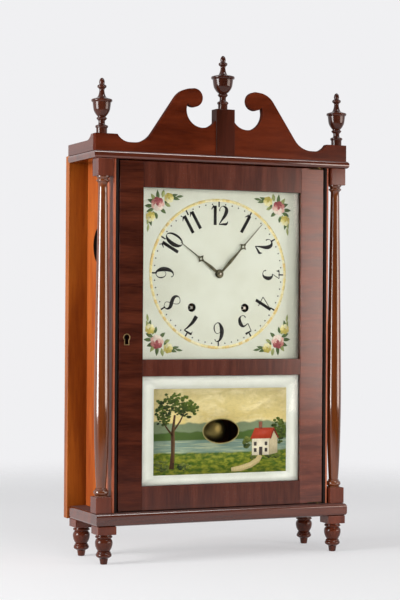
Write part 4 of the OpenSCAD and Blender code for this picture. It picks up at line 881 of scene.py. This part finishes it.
corners = [math.atan2(z - oval_z, x) for x in (-picture_x, picture_x) for z in (picture_low, picture_high)]
evenly = [2 * math.pi * k / oval_sides - math.pi for k in range(oval_sides)]
directions = sorted(evenly + corners)
oval = [(oval_x * math.cos(a), oval_z + oval_h * math.sin(a)) for a in
        (math.atan2(math.sin(a) / oval_h, math.cos(a) / oval_x) for a in directions)]
picture_oil, shader, here = finish("picture_oil", {"Specular IOR Level": 0.2, "Roughness": 0.6})
across = (here.part("X") + picture_x * mm) * (0.5 / (picture_x * mm))
height = (here.part("Z") - picture_low * mm) * (1 / ((picture_high - picture_low) * mm))
flat = here.stretched((1, 0, 1))
clouds = flat.noise((26, 1, 60), 4, 0.5).rise(0.42, 0.68)
sky = blend(height.rise(0.45, 1.0), shade(234, 212, 136), shade(206, 190, 132))
scene_paint = blend(clouds * 0.6, sky, shade(240, 226, 176))
far_hills = (0.60 + 0.16 * (flat.noise((22, 1, 0.1), 2) - 0.5) - height).rise(-0.01, 0.015)
scene_paint = blend(far_hills, scene_paint, shade(124, 138, 104))
near_hills = (0.50 + 0.2 * (flat.noise((15, 1, 0.2), 2) - 0.5) - height).rise(-0.01, 0.015)
scene_paint = blend(near_hills, scene_paint, shade(74, 98, 42))
lake = (0.40 - height).rise(-0.005, 0.01)
ripples = flat.noise((20, 1, 420), 2).rise(0.4, 0.7)
scene_paint = blend(lake, scene_paint, blend(ripples, shade(116, 142, 128), shade(176, 184, 150)))
lawn = (0.26 + 0.12 * (flat.noise((12, 1, 0.3), 2) - 0.5) - height).rise(-0.01, 0.02)
grass = blend(flat.noise((90, 1, 200), 3).rise(0.35, 0.7), shade(62, 92, 22), shade(150, 152, 46))
scene_paint = blend(lawn, scene_paint, grass)
daubs = flat.noise((160, 1, 260), 3)
blend(daubs.rise(0.45, 0.85) * 0.25, scene_paint, shade(70, 66, 30)).feed(shader, "Base Color")
picture_edge = panel(picture_x, picture_low, picture_high, directions)
painted("tablet_landscape", [(surround(picture_edge, oval), black, 0)], behind_glass, picture_oil,
        "door")


# Tablet border: cream oil paint round the picture, on the back of the same pane, and a thin gold
# line round the clear oval.
tablet_oil = brushwork("tablet_oil", {"Specular IOR Level": 0.3})
border_oil, shader, here = finish("border_oil", {"Specular IOR Level": 0.25, "Roughness": 0.5})
border_cloud = here.noise((30, 30, 30), 3).rise(0.3, 0.75)
blend(border_cloud, shade(224, 226, 211), shade(234, 236, 223)).feed(shader, "Base Color")
border_edge = panel(border_x, border_low, border_high, directions)
painted("tablet_border", [(surround(border_edge, picture_edge), black, 0)], behind_glass, border_oil,
        "door")
rim_gold = shade(176, 158, 96)
rim_wider, rim_higher, rim_y = 1.05, 1.08, behind_glass - 0.1 * mm
oval_edge = [(x * rim_wider, oval_z + (z - oval_z) * rim_higher) for x, z in oval]
painted("oval_rim", [(surround(oval_edge, oval), rim_gold, 0)], rim_y, tablet_oil, "door")


# Painted trees: oil paint between the landscape and the pane, a tall tree on the left with bushes
# at its foot. The leaves are small dabs, each in a layer of its own.
over_picture = behind_glass - 0.12 * mm


def foliage(x, z, radius_x, radius_z, count, dark, light):
    """Dabs of leaf colour inside an oval, lighter towards the upper right."""
    dabs = []
    for k in range(count):
        a = brush.uniform(0, 2 * math.pi)
        reach = math.sqrt(brush.uniform(0, 1))
        dx, dz = reach * math.cos(a), reach * math.sin(a)
        tone = min(1, max(0, 0.45 + 0.3 * dx + 0.35 * dz + brush.uniform(-0.3, 0.3)))
        tint = tuple(first + (second - first) * tone for first, second in zip(dark, light))
        size = brush.uniform(1.6, 3.4)
        dab = disc(x + dx * radius_x, z + dz * radius_z, size, 8, size * 0.7)
        dabs.append((dab, tint, 1 + 6 * k / count))
    return dabs


bark, bark_light = shade(74, 48, 26), shade(112, 80, 46)
tree_dark, tree_light = shade(22, 38, 14), shade(92, 112, 36)
bush_dark, bush_light = shade(34, 56, 20), shade(130, 140, 56)
marks = [(strip([(-84, 140, 4.2), (-82, 165, 3.2), (-83, 195, 2.6), (-79, 224, 1.6)]), bark, 0),
         (strip([(-81, 150, 1.2), (-79.5, 180, 1.0), (-80.5, 205, 0.8)]), bark_light, 1),
         (strip([(-82, 198, 1.8), (-70, 214, 1.2), (-62, 230, 0.8)]), bark, 0),
         (strip([(-83, 192, 1.6), (-94, 206, 1.1), (-100, 218, 0.8)]), bark, 0)]
for blob in ((-80, 240, 30, 18, 150), (-56, 232, 17, 12, 70), (-99, 222, 14, 16, 80)):
    marks += foliage(*blob, tree_dark, tree_light)
for blob in ((-100, 146, 13, 9, 45), (-62, 143, 11, 6, 30)):
    marks += foliage(*blob, bush_dark, bush_light)
painted("painted_trees", marks, over_picture, tablet_oil, "door")


# Painted house: oil paint over the landscape on the right, cream walls under a red roof, with a
# path, a tree behind it and bushes in front.
wall, wall_shade = shade(238, 230, 200), shade(204, 190, 152)
roof, roof_shade = shade(182, 62, 34), shade(132, 44, 28)
window, chimney = shade(70, 62, 54), shade(150, 92, 70)
path_tone = shade(206, 186, 132)
marks = foliage(101, 196, 12, 22, 90, tree_dark, tree_light)
marks += foliage(48, 178, 9, 10, 40, bush_dark, bush_light)
marks += [(patch([(54, 158), (84, 158), (84, 186), (54, 186)]), wall, 8),
          (patch([(84, 158), (99, 161), (99, 186), (91.5, 198), (84, 186)]), wall_shade, 8),
          (patch([(51, 184), (86, 184), (93, 201), (59, 201)]), roof, 9),
          (patch([(86, 184), (91.5, 199), (93, 201), (102, 185), (99.5, 184), (92.5, 196.5), (87.5, 183)]),
           roof_shade, 9),
          (patch([(66, 200), (72, 200), (72, 211), (66, 211)]), chimney, 9),
          (patch([(66.5, 158), (72.5, 158), (72.5, 171), (66.5, 171)]), window, 10),
          (strip([(69, 158, 4), (64, 150, 4.5), (52, 143, 4.5), (34, 138, 4.5), (18, 136.5, 3)]),
           path_tone, 7)]
for x, z in ((57.5, 173), (76.5, 173), (57.5, 163), (76.5, 163)):
    marks.append((patch([(x, z), (x + 4.6, z), (x + 4.6, z + 6), (x, z + 6)]), window, 10))
marks += foliage(90, 158, 14, 6, 50, bush_dark, bush_light)
marks += foliage(56, 156, 5, 3.5, 16, bush_dark, bush_light)
painted("painted_house", marks, over_picture, tablet_oil, "door")


# Cords: twisted linen, three strands to each. The straight stretch from a pulley down to its weight
# is drawn at one length here, though on the clock it shortens as the weight is wound up.
cord_linen, shader, here = finish("cord_linen", {"Roughness": 0.85, "Specular IOR Level": 0.2})
fibre = here.noise((900, 900, 260), 3)
blend(fibre.rise(0.3, 0.7), shade(140, 118, 80), shade(204, 184, 138)).feed(shader, "Base Color")
fibre.bump(0.4, 0.0002).feed(shader, "Normal")
strand_r, lay, strand_steps, strand_sides = 0.5, 11.0, 10, 6


def twisted(name, route, node):
    """Three strands laid round a route in the plane of the pulleys, its steps of equal length."""
    points = []
    faces = []
    for strand in range(3):
        first = len(points)
        for k, middle in enumerate(route):
            along = (route[min(k + 1, len(route) - 1)] - route[max(k - 1, 0)]).normalized()
            sideways = Vector((0, 1, 0)).cross(along)
            a = 2 * math.pi * (k / strand_steps + strand / 3)
            core = middle + (sideways * math.cos(a) + Vector((0, math.sin(a), 0))) * strand_r * mm
            for corner in range(strand_sides):
                b = 2 * math.pi * corner / strand_sides
                off_core = sideways * math.cos(b) + Vector((0, math.sin(b), 0))
                points.append(core + off_core * strand_r * mm)
        last = len(points) - strand_sides
        for ring in range(first, last, strand_sides):
            for k in range(strand_sides):
                a, b = ring + k, ring + (k + 1) % strand_sides
                faces.append((a, a + strand_sides, b + strand_sides, b))
        faces.append(tuple(range(first, first + strand_sides)))
        faces.append(tuple(range(last + strand_sides - 1, last - 1, -1)))
    mesh = bpy.data.meshes.new(name)
    mesh.from_pydata(points, [], faces)
    placed = put(name, mesh, cord_linen, "case", 60)
    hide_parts(node)
    return placed


for cord, joint in (("time_cord", "time_weight_lift"), ("strike_cord", "strike_weight_lift")):
    low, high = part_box(cord)
    axis = (low + high) / 2
    rings = int((high.z - low.z) / mm / lay * strand_steps)
    route = [Vector((axis.x, axis.y, low.z + (high.z - low.z) * k / rings)) for k in range(rings + 1)]
    drop = twisted("twisted_" + cord, route, cord)
    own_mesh(drop)


# Cord leads: the same linen, from each drum up to its pulley and over it. They stay still while
# the drums and the pulleys turn.
drum_at = Vector((drum_x, drum_z))
pulley_at = Vector((137.7, 598))
pulley_reach, wrap_steps = 15.3, 40
for side, drum_reach in ((1, 15.9), (-1, 23.3)):
    up_to_pulley = pulley_at - drum_at
    leaving = math.atan2(up_to_pulley.y, up_to_pulley.x)
    leaving -= math.acos((drum_reach + pulley_reach) / up_to_pulley.length)
    path_points = [drum_at + drum_reach * Vector((math.cos(leaving), math.sin(leaving)))]
    for k in range(wrap_steps + 1):
        a = (leaving + math.pi) * (1 - k / wrap_steps)
        path_points.append(pulley_at + pulley_reach * Vector((math.cos(a), math.sin(a))))
    route = []
    step = lay / strand_steps
    for near, far in zip(path_points, path_points[1:]):
        pieces = max(1, round((far - near).length / step))
        route += [near.lerp(far, k / pieces) for k in range(pieces)]
    route = [Vector((side * x, axis.y / mm, z)) * mm for x, z in route + path_points[-1:]]
    twisted("left_lead" if side < 0 else "right_lead", route, "cord_leads")
